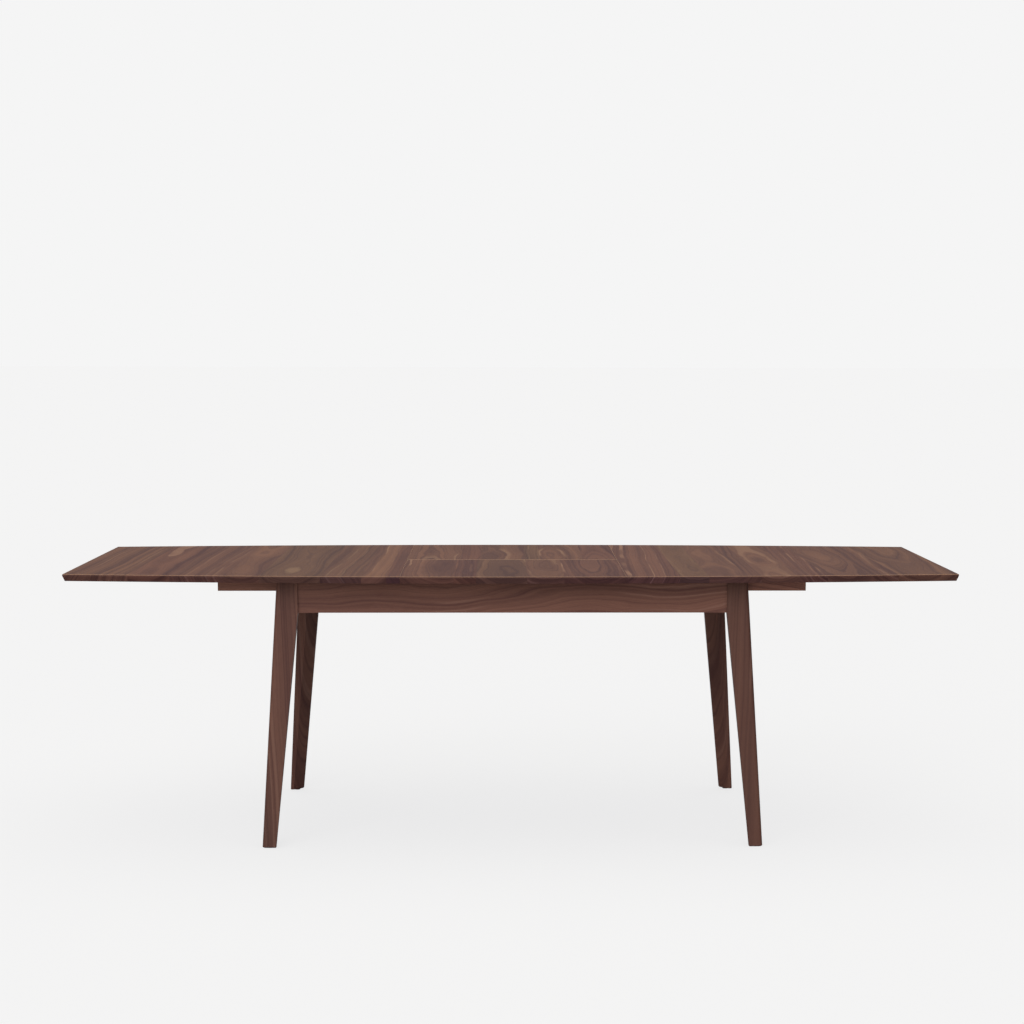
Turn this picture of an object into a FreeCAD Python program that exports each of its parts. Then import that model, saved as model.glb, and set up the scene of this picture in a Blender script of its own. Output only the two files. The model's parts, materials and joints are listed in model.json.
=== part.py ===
import FreeCAD, Part
import math
import os

# Extendable dining table, drawn open with its leaf in place, in millimetres.
# X runs along the table, Y across it, Z up. The origin is on the floor, under the middle.

Vector = FreeCAD.Vector

# Table top
table_height = 762.0
top_thickness = 19.0
half_top_length = 914.0      # one sliding half, from the seam to the end
leaf_length = 610.0          # along the table, from seam to seam
middle_width = 1016.0
side_bow = 74.0              # each long side comes in this much from the middle to an end
edge_undercut = 5.6          # the edge slopes in this far towards the underside
edge_upright = 5.0           # plain part of the edge, above the slope
arris = 1.0                  # eased corner along the top edge
seam_gap = 0.4               # between the leaf and each sliding half
seam_groove = 0.8            # small V along the seams

# Base
end_overhang = 267.0         # from the legs to the end of the top, when it is closed
side_overhang = 122.7        # from the legs to the long side, at the middle
leg_top_width = 57.3
leg_foot_width = 38.6
leg_splay = 47.0             # the foot stands this much further out, both ways
leg_corner_radius = 10.0
leg_top_flat = 25.0          # flat beside the chamfer on the leg's inner corner, at the top
leg_foot_flat = 9.5
foot_easing = 2.0
flat_easing_share = 0.6      # how much of the foot's easing its flats lose
apron_height = 91.4
apron_thickness = 21.0
apron_setback = 3.0          # behind the faces of the legs
top_clearance = 1.0          # between the apron and the top that slides over it
rail_clearance = 4.0         # between the end apron and the rails that slide over it
glide_radius = 9.0
glide_height = 2.0
glide_nail_radius = 1.5
glide_nail_length = 16.0

# Corner braces and their bolts
brace_thickness = 22.0
brace_gap = 6.0              # between the brace and the leg's chamfer
brace_height = 42.0
brace_lift = 5.0             # above the lower edge of the aprons
bolt_radius = 4.0
bolt_in_leg = 24.0
nut_width = 13.0
nut_height = 6.5
washer_radius = 11.0
washer_thickness = 1.6
bolt_end = 4.0               # thread that stands out of the nut

# Sliding rails, cleats and ball-bearing slides
rail_height = 36.0
rail_thickness = 20.0
rail_length = 505.0
rail_inset = 2.0             # from the seam to the end of the rail
rail_easing = 2.0
rail_screw_edge = 5.0        # from the rail's inner face, clear of the slide's screws
rail_screw_shares = (0.1, 0.4, 0.9)         # screw places are shares of the length they stand on
cleat_inset = 30.0           # keeps the cleats clear of the stowed leaf
cleat_width = 60.0
cleat_screw_shares = (-0.6, 0.0, 0.6)
batten_width = 70.0
batten_thickness = 14.0
batten_inset = 150.0         # from the end of the top
batten_side_gap = 150.0      # from the long side of the top
batten_screw_shares = (-0.8, 0.0, 0.8)
slide_thickness = 16.3       # from the apron to the rail
slide_height = 27.0
slide_spare = 25.0           # slide length beyond its travel to the closed place
slide_inset = 6.0
slide_metal = 1.2
slide_head_room = 2.0        # for the screw heads, between the outer and middle members
slide_ball_gap = 2.0         # between nested members, above and below
slide_outer_depth = 11.0
slide_middle_depth = 9.0
slide_inner_depth = 9.0
slide_outer_screw_shares = (0.08, 0.4)
slide_inner_screw_shares = (0.5, 0.92)
open_travel = 30.0           # each half opens this much past the leaf, to free it

# Equalizer: two racks and a pinion
gear_module = 2.0
pinion_teeth = 14
pinion_thickness = 9.0
tooth_clearance = 0.35
tooth_backlash = 0.5
pressure_angle = math.radians(20.0)
tooth_root_share = 1.25      # a tooth's depth below the pitch line, in modules
flank_steps = 4              # straight runs that stand for one curved flank
rack_back = 8.0              # plain bar behind the teeth
rack_drop = 2.0              # below the rails
rack_gap = 11.5              # from the stowed leaf to the nearer rack
rack_block_length = 60.0
rack_block_width = 16.0
rack_block_inset = 13.0
block_screw_shares = (0.25, 0.75)
rack_past_pinion = 12.0
axle_radius = 4.0
axle_end = 5.0
retainer_radius = 6.5
retainer_thickness = 1.2
bracket_metal = 3.0
bracket_length = 60.0
bracket_drop = 30.0
bracket_screw_shares = (-0.35, 0.35)
guide_wall = 2.0
guide_floor = 4.5
guide_play = 0.5

# Leaf: swinging arms and edge hinges
fold_radius = 3.0            # rounding of the two folding edges, about the hinge pins
fold_gap = 0.6
stow_clearance = 6.0         # between the stowed leaf and the closed top above it
pivot_depth = 78.0           # fixed arm pivots, below the top's underside
carrier_drop = 12.0          # leaf arm pivots, below the leaf's underside
front_arm_y = 70.0           # leaf pivots of the two pairs of arms
rear_arm_y = 250.0
arm_width = 18.0
arm_thickness = 4.0
arm_spacer = 2.5
arm_play = 0.5
pivot_radius = 4.0
pivot_clearance = 0.05
pivot_head_radius = 7.0
pivot_head_height = 3.0
rivet_head_height = 1.2
carrier_metal = 3.0
carrier_width = 25.0
carrier_overrun = 25.0
carrier_lip = 8.0            # carrier below its pivots
carrier_screw_shares = (0.06, 0.5, 0.94)
carrier_screw_line = 0.6     # across the flange, as a share of its width
bearer_x = 213.0
bearer_width = 26.0
bearer_lift = 2.0            # above the lower edge of the aprons
bearer_gap = 8.0             # below the stowed leaf
bearer_bracket_size = 28.0
bearer_bracket_metal = 2.5
bearer_screw_shares = (0.3, 0.7)
bearer_screw_line = 0.6      # from the corner, as a share of the bracket's size
pad_length = 40.0
pad_width = 12.0
pad_x = 150.0
hinge_plate_length = 36.0
hinge_plate_height = 10.5
hinge_plate_metal = 1.6
hinge_plate_depth = 4.5      # from the top face down to the plate
hinge_link_metal = 1.5
hinge_link_radius = 2.6
hinge_pin_radius = 1.2
hinge_side_play = 0.1
hinge_recess_play = 0.3
hinge_screw_shares = (0.4, 0.82)
hinge_screw_line = 0.55      # below the plate's top, as a share of its height

# Screws
wood_screw_radius = 2.0
wood_screw_head = 4.0
small_screw_radius = 1.5
small_screw_head = 2.8
screw_head_height = 1.0
screw_bite = 12.0            # length of a screw in the top or the leaf
hole_clearance = 0.05
cut_past = 1.0               # cutting shapes run this far past what they cut

# Levels and places that follow from the sizes above
half_length = half_top_length + leaf_length / 2
seam_x = leaf_length / 2
leaf_end = seam_x - seam_gap
underside_z = table_height - top_thickness
apron_top_z = underside_z - top_clearance
apron_bottom_z = apron_top_z - apron_height
rail_bottom_z = underside_z - rail_height
end_apron_top_z = rail_bottom_z - rail_clearance
leg_x = half_top_length - end_overhang
leg_y = middle_width / 2 - side_overhang
leg_inner_x = leg_x - leg_top_width
leg_inner_y = leg_y - leg_top_width
apron_outer_y = leg_y - apron_setback
apron_inner_y = apron_outer_y - apron_thickness
end_apron_outer_x = leg_x - apron_setback
end_apron_inner_x = end_apron_outer_x - apron_thickness
rail_outer_y = apron_inner_y - slide_thickness
rail_inner_y = rail_outer_y - rail_thickness
slide_z = underside_z - rail_height / 2
slide_travel = leaf_length / 2
slide_length = slide_travel + slide_spare
screw_tip_z = underside_z + screw_bite

# How the folded leaf is stowed: shifted to the middle of the base and let down under the tops
stow_shift = middle_width / 4
stow_drop = 2 * top_thickness + fold_gap + stow_clearance
arm_rise_open = pivot_depth - carrier_drop
arm_rise_stowed = arm_rise_open - stow_drop
arm_reach_open = (stow_shift - (arm_rise_open ** 2 - arm_rise_stowed ** 2) / stow_shift) / 2
arm_length = math.hypot(arm_reach_open, arm_rise_open)
fixed_pivot_z = underside_z - pivot_depth
leaf_pivot_z = underside_z - carrier_drop
bearer_bottom_z = apron_bottom_z + bearer_lift
bearer_top_z = underside_z - stow_drop - bearer_gap
bearer_face_x = bearer_x + bearer_width / 2
pivot_bolt_start_x = bearer_x - bearer_width / 4    # three quarters of the way into the bearer
arm_x = bearer_face_x + arm_spacer
carrier_x = arm_x + arm_thickness + arm_play
fold_pin_y = fold_radius + fold_gap / 2
fold_pin_z = table_height - fold_radius
fold_axis_z = table_height + fold_gap / 2
link_slot = 2 * fold_pin_y * (math.sqrt(2) - 1)     # the front pins slide this far in the links

# Equalizer places
pitch_radius = gear_module * pinion_teeth / 2
tooth_root = gear_module * tooth_root_share
rack_depth = rack_back + tooth_root
pinion_y = stow_shift + rack_gap + rack_depth + pitch_radius
rack_top_z = rail_bottom_z - rack_drop
rack_bottom_z = rack_top_z - pinion_thickness
right_rack_y = pinion_y + pitch_radius


def block(x_range, y_range, z_range):
    low = Vector(min(x_range), min(y_range), min(z_range))
    high = Vector(max(x_range), max(y_range), max(z_range))
    size = high - low
    return Part.makeBox(size.x, size.y, size.z, low)


def rod(radius, start, end):
    direction = end - start
    return Part.makeCylinder(radius, direction.Length, start, direction)


def prism(points, direction):
    outline = Part.makePolygon(points + [points[0]])
    return Part.Face(outline).extrude(direction)


def mirror_x(shape):
    return shape.mirror(Vector(0, 0, 0), Vector(1, 0, 0))


def mirror_y(shape):
    return shape.mirror(Vector(0, 0, 0), Vector(0, 1, 0))


def in_four_corners(shape):
    # The shape is drawn in the corner where X and Y are positive.
    right = [shape, mirror_y(shape)]
    return right + [mirror_x(piece) for piece in right]


def both_sides(shape, mirror):
    return [shape, mirror(shape)]


def write_node(name, shapes):
    group = shapes if isinstance(shapes, list) else [shapes]
    shape = group[0] if len(group) == 1 else Part.makeCompound(group)
    shape.exportStep("parts/" + name + ".step")
    print(name, len(shape.Solids), round(shape.Volume))


def screw(head, tip, radius, head_radius):
    # Flat-headed screw: head is the centre of the head's outer face.
    along = (tip - head).normalize()
    neck = head + along * screw_head_height
    return rod(head_radius, head, neck).fuse(rod(radius, neck, tip)).removeSplitter()


def screw_hole(head, tip, radius, head_radius):
    # Room for the same screw, with the head let in.
    along = (tip - head).normalize()
    neck = head + along * (screw_head_height + hole_clearance)
    sunk = rod(head_radius + hole_clearance, head - along * screw_head_height, neck)
    return sunk.fuse(rod(radius + hole_clearance, head, tip + along * hole_clearance))


def wood_screws(places):
    return [screw(head, tip, wood_screw_radius, wood_screw_head) for head, tip in places]


def wood_holes(places):
    return [screw_hole(head, tip, wood_screw_radius, wood_screw_head) for head, tip in places]


def small_screws(places):
    return [screw(head, tip, small_screw_radius, small_screw_head) for head, tip in places]


def small_holes(places):
    return [screw_hole(head, tip, small_screw_radius, small_screw_head) for head, tip in places]


def flip_x(places):
    return [(Vector(-head.x, head.y, head.z), Vector(-tip.x, tip.y, tip.z)) for head, tip in places]


def flip_y(places):
    return [(Vector(head.x, -head.y, head.z), Vector(tip.x, -tip.y, tip.z)) for head, tip in places]


# Table top

def side_y(x, inset):
    # The long side is one arc over the whole open length.
    arc_radius = (half_length ** 2 + side_bow ** 2) / (2 * side_bow)
    return middle_width / 2 - arc_radius + math.sqrt((arc_radius - inset) ** 2 - x ** 2)


def top_outline(inset, z):
    end = half_length - inset
    corner = side_y(end, inset)
    middle = side_y(0, inset)
    front = Part.Arc(Vector(-end, -corner, z), Vector(0, -middle, z), Vector(end, -corner, z)).toShape()
    right = Part.makeLine(Vector(end, -corner, z), Vector(end, corner, z))
    rear = Part.Arc(Vector(end, corner, z), Vector(0, middle, z), Vector(-end, corner, z)).toShape()
    left = Part.makeLine(Vector(-end, corner, z), Vector(-end, -corner, z))
    return Part.Wire([front, right, rear, left])


def whole_top():
    sections = [
        top_outline(edge_undercut, underside_z),
        top_outline(0, table_height - edge_upright),
        top_outline(0, table_height - arris),
        top_outline(arris, table_height),
    ]
    slab = Part.makeLoft(sections, True, True)
    reach = middle_width
    groove = prism([
        Vector(seam_x - seam_groove, -reach, table_height),
        Vector(seam_x, -reach, table_height - seam_groove),
        Vector(seam_x + seam_groove, -reach, table_height),
        Vector(seam_x, -reach, table_height + seam_groove),
    ], Vector(0, 2 * reach, 0))
    return slab.cut([groove, mirror_x(groove)])


def top_half(slab, holes):
    # The right-hand half.
    far_end = half_length + cut_past
    space = block((seam_x, far_end), (-middle_width, middle_width), (0, table_height + cut_past))
    return slab.common(space).cut(holes)


def leaf_panel(slab, recess, holes):
    # The rear panel of the leaf, with its folding edge rounded about the hinge pins.
    near = fold_gap / 2
    space = block((-leaf_end, leaf_end), (near, middle_width), (0, table_height + cut_past))
    corner = block((-leaf_end, leaf_end), (near, fold_pin_y), (fold_pin_z, table_height))
    left_end = Vector(-leaf_end, fold_pin_y, fold_pin_z)
    right_end = Vector(leaf_end, fold_pin_y, fold_pin_z)
    barrel = rod(fold_radius, left_end, right_end)
    panel = slab.common(space).cut(corner.cut(barrel))
    return panel.cut(both_sides(recess, mirror_x) + holes)


# Base

def leg_section(z, outer_x, outer_y, width, flat):
    # Square, with a round outer corner and a wide chamfer on the inner one.
    radius = leg_corner_radius
    inner_x = outer_x - width
    inner_y = outer_y - width
    bulge = radius * (1 - math.sqrt(0.5))
    points = [
        Vector(outer_x, outer_y - radius, z),
        Vector(outer_x, inner_y, z),
        Vector(outer_x - flat, inner_y, z),
        Vector(inner_x, outer_y - flat, z),
        Vector(inner_x, outer_y, z),
        Vector(outer_x - radius, outer_y, z),
    ]
    edges = [Part.makeLine(start, end) for start, end in zip(points, points[1:])]
    corner = Part.Arc(points[-1], Vector(outer_x - bulge, outer_y - bulge, z), points[0]).toShape()
    return Part.Wire(edges + [corner])


def splay_at(z):
    return leg_splay * (apron_top_z - z) / apron_top_z


def leg():
    # Inner faces stay upright behind the aprons, then slope out to the foot.
    waist = splay_at(apron_bottom_z)
    waist_width = leg_top_width + waist
    foot_top_z = glide_height + foot_easing
    foot = splay_at(foot_top_z)
    sole = foot - foot_easing
    sole_width = leg_foot_width - 2 * foot_easing
    sole_flat = leg_foot_flat - foot_easing * flat_easing_share
    sections = [
        leg_section(apron_top_z, leg_x, leg_y, leg_top_width, leg_top_flat),
        leg_section(apron_bottom_z, leg_x + waist, leg_y + waist, waist_width, leg_top_flat + waist),
        leg_section(foot_top_z, leg_x + foot, leg_y + foot, leg_foot_width, leg_foot_flat),
        leg_section(glide_height, leg_x + sole, leg_y + sole, sole_width, sole_flat),
    ]
    post = Part.makeLoft(sections, True, True)
    rebate = block((0, leg_x * 2), (0, apron_inner_y), (end_apron_top_z, table_height))
    return post.cut([rebate, glide(hole_clearance), corner_bolt_rod(hole_clearance)])


def glide(growth):
    # Nylon disc with a nail, set so that the disc stands on the floor.
    x = leg_x + leg_splay - leg_foot_width / 2
    y = leg_y + leg_splay - leg_foot_width / 2
    nail_top = glide_height + glide_nail_length + growth
    disc = rod(glide_radius, Vector(x, y, 0), Vector(x, y, glide_height))
    nail = rod(glide_nail_radius + growth, Vector(x, y, 0), Vector(x, y, nail_top))
    return disc.fuse(nail).removeSplitter()


def long_apron(holes):
    # The rear apron.
    levels = (apron_bottom_z, apron_top_z)
    board = block((-leg_inner_x, leg_inner_x), (apron_inner_y, apron_outer_y), levels)
    return board.cut(holes)


def end_apron():
    # The right-hand end, lower than the long aprons so that the rails pass over it.
    return block((end_apron_inner_x, end_apron_outer_x), (-leg_inner_y, leg_inner_y),
                 (apron_bottom_z, end_apron_top_z))


def brace_line(distance):
    # Ends of a line across the corner, this far in front of the leg's chamfer.
    total = leg_inner_x + leg_y - leg_top_flat - distance * math.sqrt(2)
    return [(total - apron_inner_y, apron_inner_y), (end_apron_inner_x, total - end_apron_inner_x)]


def corner_brace():
    near = brace_line(brace_gap)
    far = brace_line(brace_gap + brace_thickness)
    bottom = apron_bottom_z + brace_lift
    corners = [Vector(x, y, bottom) for x, y in [near[0], near[1], far[1], far[0]]]
    plank = prism(corners, Vector(0, 0, brace_height))
    return plank.cut(corner_bolt_rod(hole_clearance))


def bolt_point(distance):
    # A point on the bolt's axis, this far in front of the leg's chamfer.
    middle_x = leg_inner_x + (leg_top_width - leg_top_flat) / 2
    middle_y = leg_inner_y + (leg_top_width - leg_top_flat) / 2
    step = distance * math.sqrt(0.5)
    return Vector(middle_x - step, middle_y - step, apron_bottom_z + brace_lift + brace_height / 2)


def corner_bolt_rod(growth):
    outside = brace_gap + brace_thickness + washer_thickness + nut_height + bolt_end
    return rod(bolt_radius + growth, bolt_point(-bolt_in_leg - growth), bolt_point(outside))


def corner_washer():
    start = brace_gap + brace_thickness
    disc = rod(washer_radius, bolt_point(start), bolt_point(start + washer_thickness))
    return disc.cut(corner_bolt_rod(hole_clearance))


def corner_nut():
    start = bolt_point(brace_gap + brace_thickness + washer_thickness)
    end = bolt_point(brace_gap + brace_thickness + washer_thickness + nut_height)
    axis = (end - start).normalize()
    sideways = Vector(0, 0, 1)
    across = axis.cross(sideways)
    reach = nut_width / math.sqrt(3)
    corners = []
    for side in range(6):
        turn = math.radians(60 * side)
        corners.append(start + sideways * (reach * math.cos(turn)) + across * (reach * math.sin(turn)))
    return prism(corners, end - start).cut(corner_bolt_rod(hole_clearance))


# Rails, cleats and slides, drawn at the right-hand rear

def rail_screw_places():
    y = rail_inner_y + rail_screw_edge
    start = seam_x + rail_inset
    places = [start + rail_length * share for share in rail_screw_shares]
    return [(Vector(x, y, rail_bottom_z), Vector(x, y, screw_tip_z)) for x in places]


def rail():
    low = rail_bottom_z
    outline = [
        Vector(seam_x + rail_inset, rail_inner_y, low),
        Vector(seam_x + rail_inset, rail_outer_y - rail_easing, low),
        Vector(seam_x + rail_inset, rail_outer_y, low + rail_easing),
        Vector(seam_x + rail_inset, rail_outer_y, underside_z),
        Vector(seam_x + rail_inset, rail_inner_y, underside_z),
    ]
    bar = prism(outline, Vector(rail_length, 0, 0))
    return bar.cut(wood_holes(rail_screw_places()) + small_holes(slide_inner_screw_places()))


def cleat_x():
    return leaf_length + cleat_inset


def cleat_screw_places():
    x = cleat_x() + cleat_width / 2
    places = [rail_inner_y * share for share in cleat_screw_shares]
    return [(Vector(x, y, rail_bottom_z), Vector(x, y, screw_tip_z)) for y in places]


def cleat():
    ends = (cleat_x(), cleat_x() + cleat_width)
    bar = block(ends, (-rail_inner_y, rail_inner_y), (rail_bottom_z, underside_z))
    return bar.cut(wood_holes(cleat_screw_places()))


def batten_screw_places():
    x = half_length - batten_inset
    reach = middle_width / 2 - side_bow - batten_side_gap
    bottom = underside_z - batten_thickness
    places = [reach * share for share in batten_screw_shares]
    return [(Vector(x, y, bottom), Vector(x, y, screw_tip_z)) for y in places]


def batten():
    # Flat batten that keeps the free end of the top straight.
    x = half_length - batten_inset
    reach = middle_width / 2 - side_bow - batten_side_gap
    bar = block((x - batten_width / 2, x + batten_width / 2), (-reach, reach),
                (underside_z - batten_thickness, underside_z))
    return bar.cut(wood_holes(batten_screw_places()))


def channel(x_range, web_y, lip_y, height):
    # A C-shaped member: its web stands at web_y and its lips reach to lip_y.
    toward = math.copysign(slide_metal, lip_y - web_y)
    outer = block(x_range, (web_y, lip_y), (slide_z - height / 2, slide_z + height / 2))
    half_space = height / 2 - slide_metal
    levels = (slide_z - half_space, slide_z + half_space)
    space = block(x_range, (web_y + toward, lip_y + toward), levels)
    return outer.cut(space)


def slide_outer_range():
    return (slide_inset, slide_inset + slide_length)


def slide_inner_range():
    return (slide_inset + slide_travel, slide_inset + slide_travel + slide_length)


def slide_middle_range():
    return (slide_inset + slide_travel / 2, slide_inset + slide_travel / 2 + slide_length)


def slide_outer_screw_places():
    start, end = slide_outer_range()
    web = apron_inner_y - slide_metal
    places = [start + (end - start) * share for share in slide_outer_screw_shares]
    return [
        (Vector(x, web - screw_head_height, slide_z), Vector(x, apron_inner_y + screw_bite, slide_z))
        for x in places
    ]


def slide_inner_screw_places():
    start, end = slide_inner_range()
    web = rail_outer_y + slide_metal
    places = [start + (end - start) * share for share in slide_inner_screw_shares]
    return [
        (Vector(x, web + screw_head_height, slide_z), Vector(x, rail_outer_y - screw_bite, slide_z))
        for x in places
    ]


def shank_holes(places, radius):
    return [rod(radius + hole_clearance, head, tip) for head, tip in places]


def slide_outer():
    member = channel(slide_outer_range(), apron_inner_y, apron_inner_y - slide_outer_depth, slide_height)
    return member.cut(shank_holes(slide_outer_screw_places(), small_screw_radius))


def slide_middle():
    web = apron_inner_y - slide_metal - slide_head_room
    height = slide_height - 2 * (slide_metal + slide_ball_gap)
    return channel(slide_middle_range(), web, web - slide_middle_depth, height)


def slide_inner():
    height = slide_height - 4 * (slide_metal + slide_ball_gap)
    member = channel(slide_inner_range(), rail_outer_y, rail_outer_y + slide_inner_depth, height)
    return member.cut(shank_holes(slide_inner_screw_places(), small_screw_radius))


# Equalizer

def tooth_half_width(height):
    # Half the width of a rack tooth at this height above the pitch line.
    tooth = math.pi * gear_module / 4 - tooth_backlash / 4
    return tooth - height * math.tan(pressure_angle)


def rack_ends():
    return (-open_travel - rack_past_pinion, seam_x + rack_block_inset + rack_block_length)


def right_rack_tooth_places():
    # A rack tooth stands half a pitch from the pinion's tooth on the centre line.
    pitch = math.pi * gear_module
    first = math.ceil((rack_ends()[0] + pitch) / pitch)
    last = math.floor((seam_x - pitch) / pitch)
    return [pitch * (step + 0.5) for step in range(first, last)]


def right_rack():
    # Its teeth point towards the pinion, which is in front of it.
    root_y = right_rack_y + tooth_root
    tip = gear_module - tooth_clearance
    back = block(rack_ends(), (root_y, right_rack_y + rack_depth), (rack_bottom_z, rack_top_z))
    low = tooth_half_width(-tooth_root)
    high = tooth_half_width(tip)
    teeth = []
    for x in right_rack_tooth_places():
        corners = [
            Vector(x - low, root_y, rack_bottom_z),
            Vector(x + low, root_y, rack_bottom_z),
            Vector(x + high, right_rack_y - tip, rack_bottom_z),
            Vector(x - high, right_rack_y - tip, rack_bottom_z),
        ]
        teeth.append(prism(corners, Vector(0, 0, pinion_thickness)))
    bar = back.multiFuse(teeth).removeSplitter()
    return bar.cut(wood_holes(right_block_screw_places()))


def right_block_screw_places():
    y = right_rack_y + rack_depth / 2
    start = seam_x + rack_block_inset
    places = [start + rack_block_length * share for share in block_screw_shares]
    return [(Vector(x, y, rack_bottom_z), Vector(x, y, screw_tip_z)) for x in places]


def right_rack_block():
    # Wooden block that hangs the rack under the top.
    start = seam_x + rack_block_inset
    middle = right_rack_y + rack_depth / 2
    sides = (middle - rack_block_width / 2, middle + rack_block_width / 2)
    bar = block((start, start + rack_block_length), sides, (rack_top_z, underside_z))
    return bar.cut(wood_holes(right_block_screw_places()))


def turn_about_pinion(shape):
    # The left-hand rack and block are the right-hand ones turned half a turn about the pinion.
    turned = shape.copy()
    turned.rotate(Vector(0, pinion_y, 0), Vector(0, 0, 1), 180)
    return turned


def left_block_screw_places():
    middle = 2 * pinion_y
    return [(Vector(-head.x, middle - head.y, head.z), Vector(-tip.x, middle - tip.y, tip.z))
            for head, tip in right_block_screw_places()]


def pinion_point(radius, angle):
    return Vector(radius * math.cos(angle), pinion_y + radius * math.sin(angle), rack_bottom_z)


def involute_point(base_radius, radius, start_angle, side):
    # A point of one flank: the angle grows along the involute of the base circle.
    ratio = math.sqrt(max((radius / base_radius) ** 2 - 1, 0))
    return pinion_point(radius, start_angle + side * (ratio - math.atan(ratio)))


def pinion():
    base_radius = pitch_radius * math.cos(pressure_angle)
    root_radius = pitch_radius - tooth_root
    tip_radius = pitch_radius + gear_module - tooth_clearance
    flank = math.tan(pressure_angle) - pressure_angle
    half_tooth = math.pi / (2 * pinion_teeth) - tooth_backlash / (4 * pitch_radius) + flank
    run = (tip_radius - base_radius) / flank_steps
    radii = [base_radius + run * step for step in range(flank_steps + 1)]
    points = []
    for tooth in range(pinion_teeth):
        middle = math.pi / 2 + 2 * math.pi * tooth / pinion_teeth
        start = middle - half_tooth
        end = middle + half_tooth
        points.append(pinion_point(root_radius, start))
        points += [involute_point(base_radius, radius, start, 1) for radius in radii]
        points += [involute_point(base_radius, radius, end, -1) for radius in reversed(radii)]
        points.append(pinion_point(root_radius, end))
    wheel = prism(points, Vector(0, 0, pinion_thickness))
    return wheel.cut(pinion_axle_rod(pivot_clearance))


def pinion_axle_rod(growth):
    bottom = Vector(0, pinion_y, guide_bottom_z() - bracket_metal)
    top = Vector(0, pinion_y, rack_top_z + axle_end)
    return rod(axle_radius + growth, bottom, top)


def pinion_retainer():
    # Snap ring on the axle, just above the pinion.
    bottom = Vector(0, pinion_y, rack_top_z + guide_play)
    ring = rod(retainer_radius, bottom, bottom + Vector(0, 0, retainer_thickness))
    return ring.cut(pinion_axle_rod(0))


def guide_bottom_z():
    return rack_bottom_z - guide_play - guide_floor


def guide_outer():
    # Distance from the pinion's axis to the outside of the guide's walls.
    return pitch_radius + rack_depth + guide_play + guide_wall


def rack_guide():
    # Nylon trough that keeps both racks in mesh.
    half = bracket_length / 2
    outer = guide_outer()
    inner = outer - guide_wall
    bottom = guide_bottom_z()
    body = block((-half, half), (pinion_y - outer, pinion_y + outer), (bottom, rack_top_z))
    levels = (bottom + guide_floor, table_height)
    trough = block((-half, half), (pinion_y - inner, pinion_y + inner), levels)
    return body.cut([trough, pinion_axle_rod(hole_clearance)])


def bracket_screw_places():
    z = guide_bottom_z() - bracket_drop / 2
    face = apron_inner_y - bracket_metal - screw_head_height
    places = [bracket_length * share for share in bracket_screw_shares]
    return [(Vector(x, face, z), Vector(x, apron_inner_y + screw_bite, z)) for x in places]


def pinion_bracket():
    # Steel angle from the rear apron that carries the guide and the pinion's axle.
    half = bracket_length / 2
    top = guide_bottom_z()
    shelf = block((-half, half), (pinion_y - guide_outer(), apron_inner_y), (top - bracket_metal, top))
    flange = block((-half, half), (apron_inner_y - bracket_metal, apron_inner_y), (top - bracket_drop, top))
    angle = shelf.fuse(flange).removeSplitter()
    screw_room = shank_holes(bracket_screw_places(), small_screw_radius)
    return angle.cut([pinion_axle_rod(hole_clearance)] + screw_room)


# Leaf bearers, arms and carriers, drawn at the right-hand side

def fixed_pivot_y(leaf_pivot_y):
    return leaf_pivot_y - arm_reach_open


def pivot_bolt_rod(leaf_pivot_y, growth):
    start = Vector(pivot_bolt_start_x, fixed_pivot_y(leaf_pivot_y), fixed_pivot_z)
    end = Vector(arm_x + arm_thickness, fixed_pivot_y(leaf_pivot_y), fixed_pivot_z)
    return rod(pivot_radius + growth, start, end)


def arm_pivot_bolt(leaf_pivot_y):
    face = arm_x + arm_thickness + hole_clearance
    start = Vector(face, fixed_pivot_y(leaf_pivot_y), fixed_pivot_z)
    end = start + Vector(pivot_head_height, 0, 0)
    head = rod(pivot_head_radius, start, end)
    shank = rod(pivot_radius, Vector(pivot_bolt_start_x, start.y, start.z), start)
    return head.fuse(shank).removeSplitter()


def arm_washer(leaf_pivot_y):
    start = Vector(bearer_face_x, fixed_pivot_y(leaf_pivot_y), fixed_pivot_z)
    end = start + Vector(arm_spacer - hole_clearance, 0, 0)
    disc = rod(pivot_head_radius, start, end)
    return disc.cut(pivot_bolt_rod(leaf_pivot_y, hole_clearance))


def bearer_bracket_screw_places():
    # Two screws into the apron and two into the bearer.
    face = bearer_x - bearer_width / 2
    flange = apron_inner_y - bearer_bracket_metal
    reach = bearer_bracket_size * bearer_screw_line
    places = []
    for share in bearer_screw_shares:
        z = bearer_bottom_z + (bearer_top_z - bearer_bottom_z) * share
        into_apron = Vector(face - reach, flange - screw_head_height, z)
        places.append((into_apron, Vector(face - reach, apron_inner_y + screw_bite, z)))
        into_bearer = Vector(face - bearer_bracket_metal - screw_head_height, apron_inner_y - reach, z)
        places.append((into_bearer, Vector(face + screw_bite, apron_inner_y - reach, z)))
    return places


def bearer_bracket():
    face = bearer_x - bearer_width / 2
    metal = bearer_bracket_metal
    size = bearer_bracket_size
    levels = (bearer_bottom_z, bearer_top_z)
    along = block((face - metal, face), (apron_inner_y - size, apron_inner_y), levels)
    across = block((face - size, face), (apron_inner_y - metal, apron_inner_y), levels)
    angle = along.fuse(across).removeSplitter()
    return angle.cut(shank_holes(bearer_bracket_screw_places(), small_screw_radius))


def leaf_bearer():
    bar = block((bearer_x - bearer_width / 2, bearer_face_x), (-apron_inner_y, apron_inner_y),
                (bearer_bottom_z, bearer_top_z))
    bolts = [pivot_bolt_rod(place, hole_clearance) for place in (front_arm_y, rear_arm_y)]
    rear_screws = small_holes(bearer_bracket_screw_places())
    front_screws = small_holes(flip_y(bearer_bracket_screw_places()))
    return bar.cut(bolts + rear_screws + front_screws)


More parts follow.
